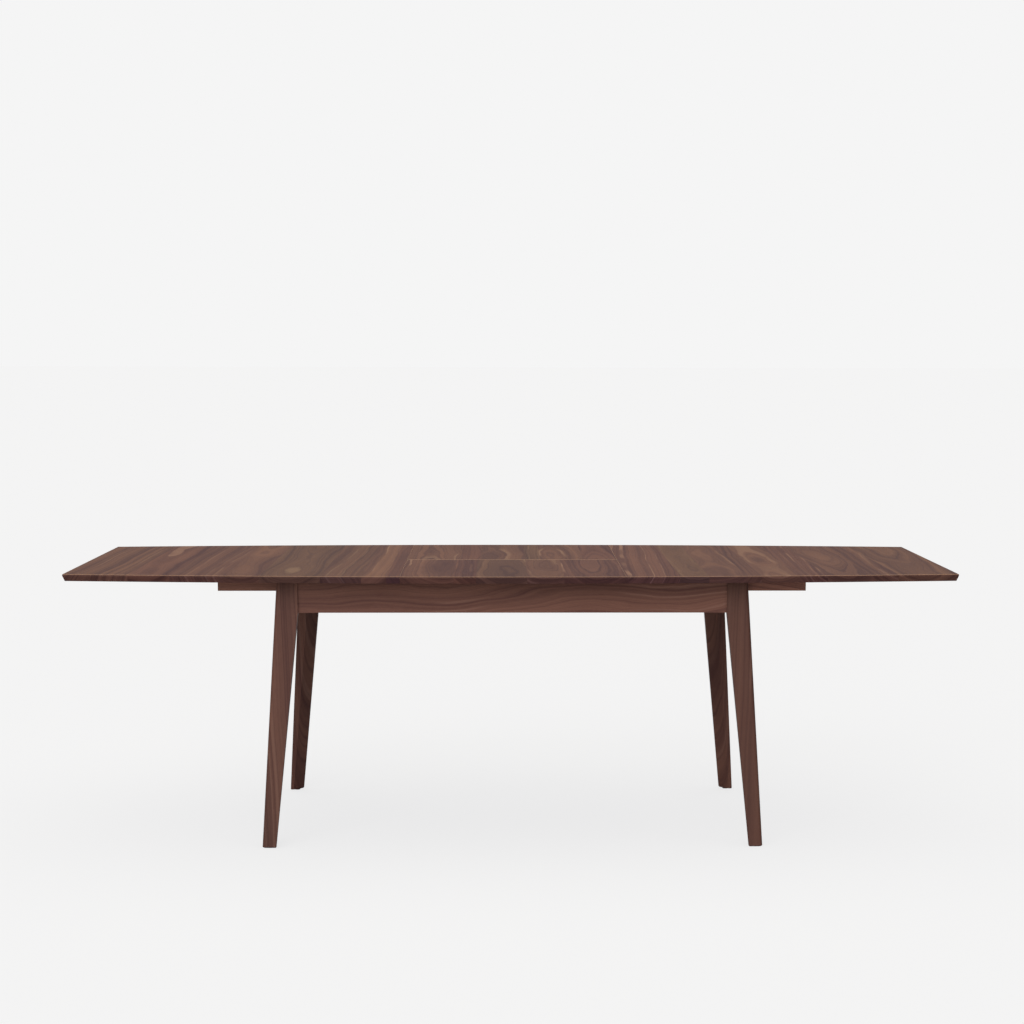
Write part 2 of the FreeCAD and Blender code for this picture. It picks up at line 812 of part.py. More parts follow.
def swing_arm(leaf_pivot_y):
    fixed = Vector(arm_x, fixed_pivot_y(leaf_pivot_y), fixed_pivot_z)
    moving = Vector(arm_x, leaf_pivot_y, leaf_pivot_z)
    along = (moving - fixed).normalize()
    side = Vector(0, -along.z, along.y) * (arm_width / 2)
    thick = Vector(arm_thickness, 0, 0)
    bar = prism([fixed + side, moving + side, moving - side, fixed - side], thick)
    ends = [rod(arm_width / 2, point, point + thick) for point in (fixed, moving)]
    bar = bar.multiFuse(ends).removeSplitter()
    hole = pivot_radius + pivot_clearance
    return bar.cut([rod(hole, point - thick, point + thick * 2) for point in (fixed, moving)])


def carrier_rivet_rod(leaf_pivot_y, growth):
    start = Vector(arm_x - rivet_head_height, leaf_pivot_y, leaf_pivot_z)
    return rod(pivot_radius + growth, start, Vector(carrier_x + carrier_metal, leaf_pivot_y, leaf_pivot_z))


def carrier_rivet(leaf_pivot_y):
    inner = Vector(arm_x - hole_clearance, leaf_pivot_y, leaf_pivot_z)
    outer = Vector(carrier_x + carrier_metal, leaf_pivot_y, leaf_pivot_z)
    thick = Vector(rivet_head_height, 0, 0)
    head = rod(pivot_head_radius, inner - thick, inner)
    far_head = rod(pivot_head_radius, outer, outer + thick)
    return rod(pivot_radius, inner, outer).multiFuse([head, far_head]).removeSplitter()


def carrier_screw_places():
    x = carrier_x + carrier_width * carrier_screw_line
    low = underside_z - carrier_metal - screw_head_height
    start = front_arm_y - carrier_overrun
    length = rear_arm_y - front_arm_y + 2 * carrier_overrun
    places = [start + length * share for share in carrier_screw_shares]
    return [(Vector(x, y, low), Vector(x, y, screw_tip_z)) for y in places]


def leaf_carrier():
    # Steel angle under the rear panel of the leaf, on which both arms turn.
    ends = (front_arm_y - carrier_overrun, rear_arm_y + carrier_overrun)
    low = leaf_pivot_z - carrier_lip
    upright = block((carrier_x, carrier_x + carrier_metal), ends, (low, underside_z))
    flange = block((carrier_x, carrier_x + carrier_width), ends, (underside_z - carrier_metal, underside_z))
    angle = upright.fuse(flange).removeSplitter()
    rivets = [carrier_rivet_rod(place, hole_clearance) for place in (front_arm_y, rear_arm_y)]
    return angle.cut(rivets + shank_holes(carrier_screw_places(), small_screw_radius))


def rest_pad():
    middle = (apron_inner_y + apron_outer_y) / 2
    ends = (pad_x - pad_length / 2, pad_x + pad_length / 2)
    sides = (middle - pad_width / 2, middle + pad_width / 2)
    return block(ends, sides, (apron_top_z, underside_z))


# Edge hinges of the fold, drawn on the rear panel at its right-hand end

def hinge_plate_face_x():
    return leaf_end - hinge_side_play - hinge_link_metal - 2 * hinge_side_play


def hinge_recess(slide):
    # Room for the plate and the turning link; slide is how far the link runs past the pin.
    floor = hinge_plate_face_x() - hinge_plate_metal
    reach = hinge_link_radius + hinge_recess_play + slide
    plate_top = table_height - hinge_plate_depth
    link_levels = (fold_pin_z - reach, table_height + cut_past)
    link_room = block((floor, leaf_end), (0, fold_pin_y + reach), link_levels)
    plate_room = block((floor, leaf_end), (0, hinge_plate_length + hinge_recess_play),
                       (plate_top - hinge_plate_height - hinge_recess_play, plate_top))
    return link_room.fuse(plate_room)


def hinge_screw_places():
    z = table_height - hinge_plate_depth - hinge_plate_height * hinge_screw_line
    face = hinge_plate_face_x() + screw_head_height
    places = [hinge_plate_length * share for share in hinge_screw_shares]
    return [(Vector(face, y, z), Vector(face - screw_bite, y, z)) for y in places]


def hinge_plate():
    # The plate and the pin riveted in it are one piece.
    face = hinge_plate_face_x()
    back = face - hinge_plate_metal
    top = table_height - hinge_plate_depth
    body = block((back, face), (fold_gap, hinge_plate_length), (top - hinge_plate_height, top))
    pin_back = Vector(back, fold_pin_y, fold_pin_z)
    ear = rod(hinge_link_radius, pin_back, Vector(face, fold_pin_y, fold_pin_z))
    pin_end = Vector(leaf_end - hinge_side_play, fold_pin_y, fold_pin_z)
    plate = body.multiFuse([ear, rod(hinge_pin_radius, pin_back, pin_end)]).removeSplitter()
    return plate.cut(shank_holes(hinge_screw_places(), small_screw_radius))


def long_hole(radius, y_range, x_range):
    # A bar with round ends, along Y, centred on the hinge pins' level.
    thick = Vector(x_range[1] - x_range[0], 0, 0)
    ends = [Vector(x_range[0], y, fold_pin_z) for y in y_range]
    bar = block(x_range, y_range, (fold_pin_z - radius, fold_pin_z + radius))
    return bar.multiFuse([rod(radius, point, point + thick) for point in ends]).removeSplitter()


def hinge_link():
    # Turns on the rear pin; the front pin slides in its slot as the fold opens about its axis.
    outer = leaf_end - hinge_side_play
    inner = outer - hinge_link_metal
    near = inner - hinge_link_metal
    far = outer + hinge_link_metal
    hole = hinge_pin_radius + pivot_clearance
    link = long_hole(hinge_link_radius, (-fold_pin_y - link_slot, fold_pin_y), (inner, outer))
    slot = long_hole(hole, (-fold_pin_y - link_slot, -fold_pin_y), (near, far))
    pivot = rod(hole, Vector(near, fold_pin_y, fold_pin_z), Vector(far, fold_pin_y, fold_pin_z))
    return link.cut([slot, pivot])


def leaf_hinge_holes():
    # Room for the hinge screws at both ends of the rear panel.
    return small_holes(hinge_screw_places()) + small_holes(flip_x(hinge_screw_places()))


def at_both_pivots(make):
    # The piece at the front and the rear arms, on both sides.
    return both_sides(make(front_arm_y), mirror_x) + both_sides(make(rear_arm_y), mirror_x)


def write_base():
    legs = in_four_corners(leg())
    for name, shape in zip(("rear_right", "front_right", "rear_left", "front_left"), legs):
        write_node("leg_" + name, shape)
    slide_holes = small_holes(slide_outer_screw_places())
    bracket_holes = small_holes(bearer_bracket_screw_places())
    right_holes = slide_holes + bracket_holes
    shared_holes = right_holes + [mirror_x(hole) for hole in right_holes]
    write_node("apron_rear", long_apron(shared_holes + small_holes(bracket_screw_places())))
    write_node("apron_front", mirror_y(long_apron(shared_holes)))
    write_node("apron_right_end", end_apron())
    write_node("apron_left_end", mirror_x(end_apron()))
    write_node("corner_braces", in_four_corners(corner_brace()))
    write_node("corner_bolts", in_four_corners(corner_bolt_rod(0)))
    write_node("corner_washers", in_four_corners(corner_washer()))
    write_node("corner_nuts", in_four_corners(corner_nut()))
    write_node("foot_glides", in_four_corners(glide(0)))
    write_node("leaf_rest_pads", in_four_corners(rest_pad()))
    write_node("slide_outer_members", in_four_corners(slide_outer()))


def write_bearers():
    write_node("leaf_bearer_right", leaf_bearer())
    write_node("leaf_bearer_left", mirror_x(leaf_bearer()))
    write_node("bearer_brackets", in_four_corners(bearer_bracket()))
    corner_screws = small_screws(slide_outer_screw_places() + bearer_bracket_screw_places())
    copies = [copy for piece in corner_screws for copy in in_four_corners(piece)]
    write_node("base_screws", copies + small_screws(bracket_screw_places()))
    write_node("arm_pivot_bolts", at_both_pivots(arm_pivot_bolt))
    write_node("arm_pivot_washers", at_both_pivots(arm_washer))
    write_node("pinion_bracket", pinion_bracket())
    write_node("rack_guide", rack_guide())
    write_node("pinion_axle", pinion_axle_rod(0))
    write_node("pinion_retainer", pinion_retainer())
    write_node("equalizer_pinion", pinion())


def write_sliding_half(side, slab, mirror, block_places, rack, rack_block):
    # Everything that moves with one half of the top; mirror carries it to its own side.
    rail_places = rail_screw_places() + flip_y(rail_screw_places())
    cleat_places = cleat_screw_places() + batten_screw_places()
    top_holes = wood_holes(rail_places + cleat_places)
    own_top = mirror(top_half(slab, top_holes)).cut(wood_holes(block_places))
    top_screws = [mirror(piece) for piece in wood_screws(rail_places + cleat_places)]
    write_node("top_" + side, own_top)
    write_node("rail_" + side + "_rear", mirror(rail()))
    write_node("rail_" + side + "_front", mirror(mirror_y(rail())))
    write_node("cleat_" + side, mirror(cleat()))
    write_node("end_batten_" + side, mirror(batten()))
    write_node("top_screws_" + side, top_screws + wood_screws(block_places))
    inner_members = both_sides(mirror(slide_inner()), mirror_y)
    write_node("slide_inner_members_" + side, inner_members)
    inner_screws = small_screws(slide_inner_screw_places() + flip_y(slide_inner_screw_places()))
    write_node("slide_inner_screws_" + side, [mirror(piece) for piece in inner_screws])
    write_node("slide_middle_members_" + side, both_sides(mirror(slide_middle()), mirror_y))
    write_node("rack_" + side, rack)
    write_node("rack_block_" + side, rack_block)


def write_tops(slab):
    rack = right_rack()
    rack_block = right_rack_block()
    write_sliding_half("right", slab, lambda shape: shape, right_block_screw_places(), rack, rack_block)
    write_sliding_half("left", slab, mirror_x, left_block_screw_places(),
                       turn_about_pinion(rack), turn_about_pinion(rack_block))


def write_leaf(slab):
    carrier_places = carrier_screw_places() + flip_x(carrier_screw_places())
    hinge_holes = leaf_hinge_holes()
    rear_holes = hinge_holes + small_holes(carrier_places)
    write_node("leaf_rear_panel", leaf_panel(slab, hinge_recess(0), rear_holes))
    write_node("leaf_front_panel", mirror_y(leaf_panel(slab, hinge_recess(link_slot), hinge_holes)))
    write_node("leaf_carriers", both_sides(leaf_carrier(), mirror_x))
    write_node("carrier_rivets", at_both_pivots(carrier_rivet))
    write_node("swing_arms_front", both_sides(swing_arm(front_arm_y), mirror_x))
    write_node("swing_arms_rear", both_sides(swing_arm(rear_arm_y), mirror_x))
    rear_plates = both_sides(hinge_plate(), mirror_x)
    write_node("fold_hinge_plates_rear", rear_plates)
    write_node("fold_hinge_plates_front", [mirror_y(plate) for plate in rear_plates])
    hinge_screws = small_screws(hinge_screw_places() + flip_x(hinge_screw_places()))
    write_node("leaf_screws_rear", hinge_screws + small_screws(carrier_places))
    write_node("leaf_screws_front", [mirror_y(piece) for piece in hinge_screws])
    write_node("fold_hinge_links", both_sides(hinge_link(), mirror_x))


def print_joint_facts():
    open_angle = math.degrees(math.atan2(arm_rise_open, arm_reach_open))
    stowed_angle = 180 - math.degrees(math.asin(arm_rise_stowed / arm_length))
    print("arm swing, degrees", round(stowed_angle - open_angle, 4))
    print("fixed pivots y", round(fixed_pivot_y(front_arm_y), 4), round(fixed_pivot_y(rear_arm_y), 4))
    print("fixed pivot z", round(fixed_pivot_z, 4), "leaf pivot z", round(leaf_pivot_z, 4))
    print("fold pins y", round(fold_pin_y, 4), "z", round(fold_pin_z, 4))
    print("fold axis z", round(fold_axis_z, 4))
    print("pinion y", round(pinion_y, 4), "pitch radius", round(pitch_radius, 4))


os.makedirs("parts", exist_ok=True)
whole = whole_top()
write_base()
write_bearers()
write_tops(whole)
write_leaf(whole)
print_joint_facts()
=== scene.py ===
import json
import math

import bmesh
import bpy
from mathutils import Matrix, Vector


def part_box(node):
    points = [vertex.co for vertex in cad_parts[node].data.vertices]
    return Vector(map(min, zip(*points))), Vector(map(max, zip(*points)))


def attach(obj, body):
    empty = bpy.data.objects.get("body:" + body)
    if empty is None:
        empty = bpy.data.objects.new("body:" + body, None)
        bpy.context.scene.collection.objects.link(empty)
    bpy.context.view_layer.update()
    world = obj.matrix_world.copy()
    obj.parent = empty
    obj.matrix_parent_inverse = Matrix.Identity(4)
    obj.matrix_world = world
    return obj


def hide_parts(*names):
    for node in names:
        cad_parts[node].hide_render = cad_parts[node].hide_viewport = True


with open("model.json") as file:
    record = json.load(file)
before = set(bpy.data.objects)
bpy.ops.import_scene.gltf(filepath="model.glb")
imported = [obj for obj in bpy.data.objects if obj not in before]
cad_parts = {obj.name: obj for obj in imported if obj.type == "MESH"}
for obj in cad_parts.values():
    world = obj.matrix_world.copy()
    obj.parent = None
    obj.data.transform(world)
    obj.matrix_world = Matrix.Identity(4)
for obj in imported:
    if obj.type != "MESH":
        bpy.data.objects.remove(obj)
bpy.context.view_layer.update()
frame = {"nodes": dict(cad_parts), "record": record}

nodes = frame["nodes"]

cameraView = {
    "place": (-0.02842, -6.34425, 1.34410),
    "pitchDown": 0.1558,
    "yaw": -0.0266,
    "roll": 0.0025,
    "lens": 76.65,
    "shift": (-0.0469, 0.1836),
}

studio = {
    "paleGrey": 0.913,          # how bright the floor and the wall behind look
    "roomLight": 0.38,          # light that comes from all round
    "roomTint": (0.92, 0.94, 1.22, 1),
    "keyTint": (1.0, 0.985, 0.97),
    "topTint": (1.0, 0.965, 0.76),
    "floorGrey": 0.79,
    "floorBounce": 0.46,        # what the floor throws back up at the table
    "floorGlow": 0.82,          # share of the floor that shadows don't reach
    "keyStrength": 1.95,
    "keyTilt": 69,              # degrees from straight up, towards the front
    "keyTurn": -16,             # degrees towards the left end
    "keySoftness": 50,
    "topStrength": 1.66,
    "topTilt": 0,
    "topTurn": 0,
    "topSoftness": 100,
    "halfFloor": 300,
}


def setCamera(view):
    data = bpy.data.cameras.new("tableCamera")
    data.lens = view["lens"]
    data.sensor_width = 36
    data.shift_x, data.shift_y = view["shift"]
    data.clip_end = 1000
    camera = bpy.data.objects.new("tableCamera", data)
    turn = Matrix.Rotation(view["yaw"], 4, "Z")
    tilt = Matrix.Rotation(math.pi / 2 - view["pitchDown"], 4, "X")
    lean = Matrix.Rotation(view["roll"], 4, "Z")
    camera.matrix_world = Matrix.Translation(view["place"]) @ turn @ tilt @ lean
    bpy.context.scene.collection.objects.link(camera)
    bpy.context.scene.camera = camera


def put(tree, kind, feeds=None, **settings):
    # adds a node, sets it up, and links or sets its inputs
    node = tree.nodes.new(kind)
    for name, value in settings.items():
        setattr(node, name, value)
    for socket, value in (feeds or {}).items():
        feed(tree, value, node.inputs[socket])
    return node


def feed(tree, value, socket):
    if isinstance(value, bpy.types.Node):
        value = value.outputs[0]
    if isinstance(value, bpy.types.NodeSocket):
        tree.links.new(value, socket)
    else:
        socket.default_value = value


def calc(tree, operation, *terms, clamp=False):
    feeds = dict(enumerate(terms))
    return put(tree, "ShaderNodeMath", feeds, operation=operation, use_clamp=clamp).outputs[0]


def vectorCalc(tree, operation, *terms):
    node = put(tree, "ShaderNodeVectorMath", operation=operation)
    for index, term in enumerate(terms):
        feed(tree, term, node.inputs[index])
    return node.outputs["Value" if operation == "DOT_PRODUCT" else "Vector"]


def span(tree, value, low, high, newLow=0.0, newHigh=1.0, smooth=False):
    kind = "SMOOTHSTEP" if smooth else "LINEAR"
    feeds = {"Value": value, "From Min": low, "From Max": high, "To Min": newLow, "To Max": newHigh}
    return put(tree, "ShaderNodeMapRange", feeds, interpolation_type=kind, clamp=True).outputs[0]


def blendColor(tree, factor, first, second, mode="MIX"):
    node = put(tree, "ShaderNodeMix", data_type="RGBA", blend_type=mode)
    feed(tree, factor, node.inputs[0])
    feed(tree, first, node.inputs[6])
    feed(tree, second, node.inputs[7])
    return node.outputs[2]


def noise(tree, place, scale, detail=2.0, roughness=0.5):
    scaled = vectorCalc(tree, "MULTIPLY", place, scale)
    feeds = {"Vector": scaled, "Scale": 1.0, "Detail": detail, "Roughness": roughness}
    return put(tree, "ShaderNodeTexNoise", feeds, noise_dimensions="3D").outputs[0]


def bandNoise(tree, value, detail=2.0, roughness=0.5):
    feeds = {"W": value, "Scale": 1.0, "Detail": detail, "Roughness": roughness}
    return put(tree, "ShaderNodeTexNoise", feeds, noise_dimensions="1D").outputs[0]


def setStudio(look):
    scene = bpy.context.scene
    scene.view_settings.view_transform = "Standard"
    world = bpy.data.worlds.new("paleRoom")
    world.use_nodes = True
    tree = world.node_tree
    tree.nodes.clear()
    seen = put(tree, "ShaderNodeLightPath").outputs["Is Camera Ray"]
    strength = calc(tree, "MULTIPLY_ADD", seen, look["paleGrey"] - look["roomLight"], look["roomLight"])
    tint = blendColor(tree, seen, look["roomTint"], (1, 1, 1, 1))
    sky = put(tree, "ShaderNodeBackground", {"Color": tint, "Strength": strength})
    put(tree, "ShaderNodeOutputWorld", {"Surface": sky})
    scene.world = world

    half = look["halfFloor"]
    corners = [(-half, -half, 0), (half, -half, 0), (half, half, 0), (-half, half, 0)]
    mesh = bpy.data.meshes.new("paleFloor")
    mesh.from_pydata(corners, [], [(0, 1, 2, 3)])
    floor = bpy.data.objects.new("paleFloor", mesh)
    scene.collection.objects.link(floor)
    paint = bpy.data.materials.new("palePaint")
    paint.use_nodes = True
    tree = paint.node_tree
    tree.nodes.clear()
    seen = put(tree, "ShaderNodeLightPath").outputs["Is Camera Ray"]
    grey = calc(tree, "MULTIPLY_ADD", seen, look["floorGrey"] - look["floorBounce"], look["floorBounce"])
    color = put(tree, "ShaderNodeCombineColor", {0: grey, 1: grey, 2: grey})
    matt = put(tree, "ShaderNodeBsdfDiffuse", {"Color": color})
    glow = put(tree, "ShaderNodeEmission", {"Color": (1, 1, 1, 1), "Strength": look["paleGrey"]})
    share = calc(tree, "MULTIPLY", seen, look["floorGlow"])
    mixed = put(tree, "ShaderNodeMixShader", {0: share, 1: matt, 2: glow})
    below = put(tree, "ShaderNodeNewGeometry").outputs["Backfacing"]
    clear = put(tree, "ShaderNodeBsdfTransparent")
    surface = put(tree, "ShaderNodeMixShader", {0: below, 1: mixed, 2: clear})   # clear from underneath
    put(tree, "ShaderNodeOutputMaterial", {"Surface": surface})
    mesh.materials.append(paint)

    addSun("softKey", look, "key")
    addSun("softTop", look, "top")


def addSun(name, look, which):
    data = bpy.data.lights.new(name, "SUN")
    data.energy = look[which + "Strength"]
    data.color = look[which + "Tint"]
    data.angle = math.radians(look[which + "Softness"])
    lamp = bpy.data.objects.new(name, data)
    lamp.rotation_euler = (math.radians(look[which + "Tilt"]), 0, math.radians(look[which + "Turn"]))
    bpy.context.scene.collection.objects.link(lamp)


setCamera(cameraView)
setStudio(studio)
print("camera, floor and light set")


def newGroup(name, inputs, outputs):
    tree = bpy.data.node_groups.new(name, "ShaderNodeTree")
    for label, kind in inputs:
        tree.interface.new_socket(name=label, in_out="INPUT", socket_type="NodeSocket" + kind)
    for label, kind in outputs:
        tree.interface.new_socket(name=label, in_out="OUTPUT", socket_type="NodeSocket" + kind)
    return tree, tree.nodes.new("NodeGroupInput").outputs


def closeGroup(tree, results):
    end = tree.nodes.new("NodeGroupOutput")
    for label, value in results.items():
        feed(tree, value, end.inputs[label])


walnutFigure = {
    "seedSteps": (17.3, 9.1, 5.7),      # how far one seed moves the figure along each axis
    "ringSeedStep": 31.7,
    "slowWander": (4.5, 1.5, 4.5),      # scales are per metre across, along and into the wood
    "quickWander": (19.0, 4.5, 19.0),
    "quickShare": 0.24,
    "broadBand": 0.23,                  # bands are counted in rings
    "broadRange": (0.32, 0.68),
    "broadShare": 0.45,
    "fineRange": (0.3, 0.7),
    "fineShare": 0.4,
    "lateBand": 2.3,
    "lateRange": (0.56, 0.74),
    "lateShare": -0.3,
    "threadScale": (620.0, 9.0, 620.0),
    "threadShare": 0.35,
    "threadHeight": 0.35,
    "cloudScale": (7.0, 2.2, 7.0),
    "cloudShare": 0.55,
    "middleTone": 0.42,
    "poreScale": (1500.0, 70.0, 1500.0),
    "poreRange": (0.6, 0.7),
    "poresInLightWood": 0.35,
    "poreShare": 0.45,
    "poreHeight": -0.7,
    "streakBand": 0.8,
    "streakStart": 90.0,
    "streakRange": (0.6, 0.72),
    "patchScale": (4.0, 3.0, 4.0),
    "patchRange": (0.42, 0.62),
    "endFacing": (0.45, 0.85),
}


def makeWalnutGroup(figure):
    # Position is across, along and into the board, in metres from the tree's heart.
    tree, given = newGroup(
        "walnutGrain",
        [("Position", "Vector"), ("Seed", "Float"), ("Light", "Color"), ("Dark", "Color"), ("Pale", "Color"),
         ("Ring Width", "Float"), ("Wander", "Float"), ("Taper", "Float"), ("Contrast", "Float"),
         ("Pale Streaks", "Float")],
        [("Color", "Color"), ("Pores", "Float"), ("Height", "Float")],
    )
    seeds = put(tree, "ShaderNodeCombineXYZ", {0: given["Seed"], 1: given["Seed"], 2: given["Seed"]})
    push = vectorCalc(tree, "MULTIPLY", seeds, figure["seedSteps"])
    place = vectorCalc(tree, "ADD", given["Position"], push)

    parts = put(tree, "ShaderNodeSeparateXYZ", {0: given["Position"]}).outputs
    intoSquared = calc(tree, "MULTIPLY", parts[2], parts[2])
    radius = calc(tree, "SQRT", calc(tree, "MULTIPLY_ADD", parts[0], parts[0], intoSquared))
    radius = calc(tree, "MULTIPLY_ADD", parts[1], given["Taper"], radius)
    slow = calc(tree, "SUBTRACT", noise(tree, place, figure["slowWander"], 1.5), 0.5)
    quick = calc(tree, "SUBTRACT", noise(tree, place, figure["quickWander"]), 0.5)
    bend = calc(tree, "MULTIPLY_ADD", quick, figure["quickShare"], slow)
    rings = calc(tree, "MULTIPLY_ADD", bend, given["Wander"], radius)
    rings = calc(tree, "DIVIDE", rings, given["Ring Width"])
    rings = calc(tree, "MULTIPLY_ADD", given["Seed"], figure["ringSeedStep"], rings)

    broad = bandNoise(tree, calc(tree, "MULTIPLY", rings, figure["broadBand"]))
    broad = span(tree, broad, *figure["broadRange"], smooth=True)
    fine = span(tree, bandNoise(tree, rings, 3.0, 0.6), *figure["fineRange"])
    late = bandNoise(tree, calc(tree, "MULTIPLY", rings, figure["lateBand"]), 1.0)
    late = span(tree, late, *figure["lateRange"], smooth=True)
    thread = noise(tree, place, figure["threadScale"])
    cloud = noise(tree, place, figure["cloudScale"], 3.0)
    pores = span(tree, noise(tree, place, figure["poreScale"], 1.0), *figure["poreRange"])
    pores = calc(tree, "MULTIPLY", pores, span(tree, fine, 0.0, 1.0, 1.0, figure["poresInLightWood"]))

    tone = calc(tree, "MULTIPLY", fine, figure["fineShare"])
    tone = calc(tree, "MULTIPLY_ADD", broad, figure["broadShare"], tone)
    tone = calc(tree, "MULTIPLY_ADD", calc(tree, "SUBTRACT", cloud, 0.5), figure["cloudShare"], tone)
    tone = calc(tree, "MULTIPLY_ADD", calc(tree, "SUBTRACT", thread, 0.5), figure["threadShare"], tone)
    tone = calc(tree, "MULTIPLY_ADD", late, figure["lateShare"], tone)
    tone = calc(tree, "SUBTRACT", tone, figure["middleTone"])
    tone = calc(tree, "MULTIPLY_ADD", tone, given["Contrast"], 0.5, clamp=True)
    color = blendColor(tree, tone, given["Dark"], given["Light"])

    streak = calc(tree, "MULTIPLY_ADD", rings, figure["streakBand"], figure["streakStart"])
    streak = span(tree, bandNoise(tree, streak, 1.5), *figure["streakRange"], smooth=True)
    patch = span(tree, noise(tree, place, figure["patchScale"], 1.0), *figure["patchRange"], smooth=True)
    streak = calc(tree, "MULTIPLY", calc(tree, "MULTIPLY", streak, patch), given["Pale Streaks"])
    color = blendColor(tree, streak, color, given["Pale"])
    color = blendColor(tree, calc(tree, "MULTIPLY", pores, figure["poreShare"]), color, given["Dark"])
    height = calc(tree, "MULTIPLY", thread, figure["threadHeight"])
    height = calc(tree, "MULTIPLY_ADD", pores, figure["poreHeight"], height)
    closeGroup(tree, {"Color": color, "Pores": pores, "Height": height})
    return tree


def makeEndGrainGroup(figure):
    # End grain soaks up oil, so it goes darker and cooler; an eased arris is painted paler, partly as wear
    # and partly as a painted highlight.
    tree, given = newGroup(
        "endGrainWearAndHighlight",
        [("Color", "Color"), ("Along", "Vector"), ("End Color", "Color"), ("End Amount", "Float"),
         ("Wear And Highlight", "Float"), ("Worn And Highlight Color", "Color")],
        [("Color", "Color")],
    )
    normal = put(tree, "ShaderNodeNewGeometry").outputs["Normal"]
    facing = calc(tree, "ABSOLUTE", vectorCalc(tree, "DOT_PRODUCT", normal, given["Along"]))
    ends = span(tree, facing, *figure["endFacing"], smooth=True)
    ends = calc(tree, "MULTIPLY", ends, given["End Amount"])
    soaked = blendColor(tree, 1.0, given["Color"], given["End Color"], "MULTIPLY")
    color = blendColor(tree, ends, given["Color"], soaked)
    closeGroup(tree, {"Color": blendColor(tree, given["Wear And Highlight"], color, given["Worn And Highlight Color"])})
    return tree


walnutGroup = makeWalnutGroup(walnutFigure)
endGroup = makeEndGrainGroup(walnutFigure)
print("walnut grain and end grain ready")

walnutColors = {
    "light": (0.168, 0.077, 0.038, 1),
    "dark": (0.078, 0.032, 0.018, 1),
    "pale": (0.300, 0.170, 0.090, 1),
    "endTint": (0.40, 0.36, 0.80, 1),
    # pale colour of the fold band: sanded wear and a painted highlight
    "fold": (0.46, 0.30, 0.19, 1),
    # pale colour of the eased arris: wear and a painted highlight
    "wornAndHighlight": (0.330, 0.195, 0.120, 1),
}


def newMaterial(name):
    material = bpy.data.materials.new(name)
    material.use_nodes = True
    material.node_tree.nodes.clear()
    return material, material.node_tree


oilFinish = {
    "poreRoughness": 0.22,
    "poreDepth": 0.00012,
    "poreStrength": 0.6,
    "specular": 0.14,
}


def finishWood(tree, color, grain, roughness, finish):
    rough = calc(tree, "MULTIPLY_ADD", grain["Pores"], finish["poreRoughness"], roughness)
    feeds = {"Height": grain["Height"], "Distance": finish["poreDepth"], "Strength": finish["poreStrength"]}
    bump = put(tree, "ShaderNodeBump", feeds)
    feeds = {"Base Color": color, "Roughness": rough, "Normal": bump}
    feeds["Specular IOR Level"] = finish["specular"]
    put(tree, "ShaderNodeOutputMaterial", {"Surface": put(tree, "ShaderNodeBsdfPrincipled", feeds)})


# One row for each board of the top, from left to right: where it starts, how light it is, how red,
# where the tree's heart lay, how far its rings wander, how many pale streaks, and how dark its end is.
topBoards = {
    "top_left": [
        (-1.219, 0.56, 0.40, -1.30, 0.5, 0.6, 0.5),
        (-1.044, 0.44, 0.68, -1.00, 0.7, 0.6, 0.4),
        (-0.927, 0.50, 0.55, -0.60, 0.4, 0.3, 0.6),
        (-0.782, 0.60, 0.45, -0.74, 0.8, 0.8, 0.5),
        (-0.684, 0.47, 0.20, -0.60, 1.0, 0.4, 0.6),
        (-0.522, 0.52, 0.35, -0.30, 0.5, 0.3, 0.8),
        (-0.409, 0.80, 0.38, -0.45, 0.6, 0.8, 0.6),
        (-0.342, 0.32, 0.72, -0.20, 0.3, 0.0, 1.0),
    ],
    "leaf_front_panel": [
        (-0.305, 0.54, 0.55, -0.20, 0.9, 0.6, 0.5),
        (-0.161, 0.40, 0.72, -0.05, 0.5, 0.2, 0.4),
        (-0.101, 0.52, 0.25, -0.02, 1.0, 0.5, 0.7),
        (0.036, 0.54, 0.45, 0.10, 0.8, 0.4, 0.7),
        (0.136, 0.48, 0.66, 0.22, 0.8, 1.0, 0.7),
    ],
    "leaf_rear_panel": [
        (-0.305, 0.50, 0.50, -0.24, 0.8, 0.4, 0.6),
        (-0.150, 0.42, 0.70, -0.05, 0.5, 0.3, 0.6),
        (-0.095, 0.50, 0.45, -0.06, 0.8, 0.4, 0.6),
        (0.036, 0.42, 0.22, 0.20, 0.6, 0.3, 0.6),
        (0.080, 0.56, 0.50, 0.12, 0.8, 0.6, 0.6),
        (0.205, 0.38, 0.74, 0.25, 0.4, 0.3, 0.6),
    ],
    "top_right": [
        (0.305, 0.52, 0.66, 0.24, 0.5, 0.7, 0.8),
        (0.450, 0.50, 0.22, 0.49, 1.0, 0.6, 0.9),
        (0.528, 0.66, 0.42, 0.56, 0.9, 0.8, 0.7),
        (0.633, 0.40, 0.55, 0.50, 0.4, 0.3, 0.6),
        (0.671, 0.46, 0.50, 0.72, 0.8, 0.4, 0.5),
        (0.773, 0.44, 0.66, 0.90, 0.5, 0.5, 0.6),
        (0.852, 0.58, 0.45, 0.91, 1.0, 0.7, 0.5),
        (0.976, 0.48, 0.50, 1.08, 0.5, 0.3, 0.5),
        (1.049, 0.50, 0.36, 1.12, 0.9, 0.7, 0.4),
    ],
}

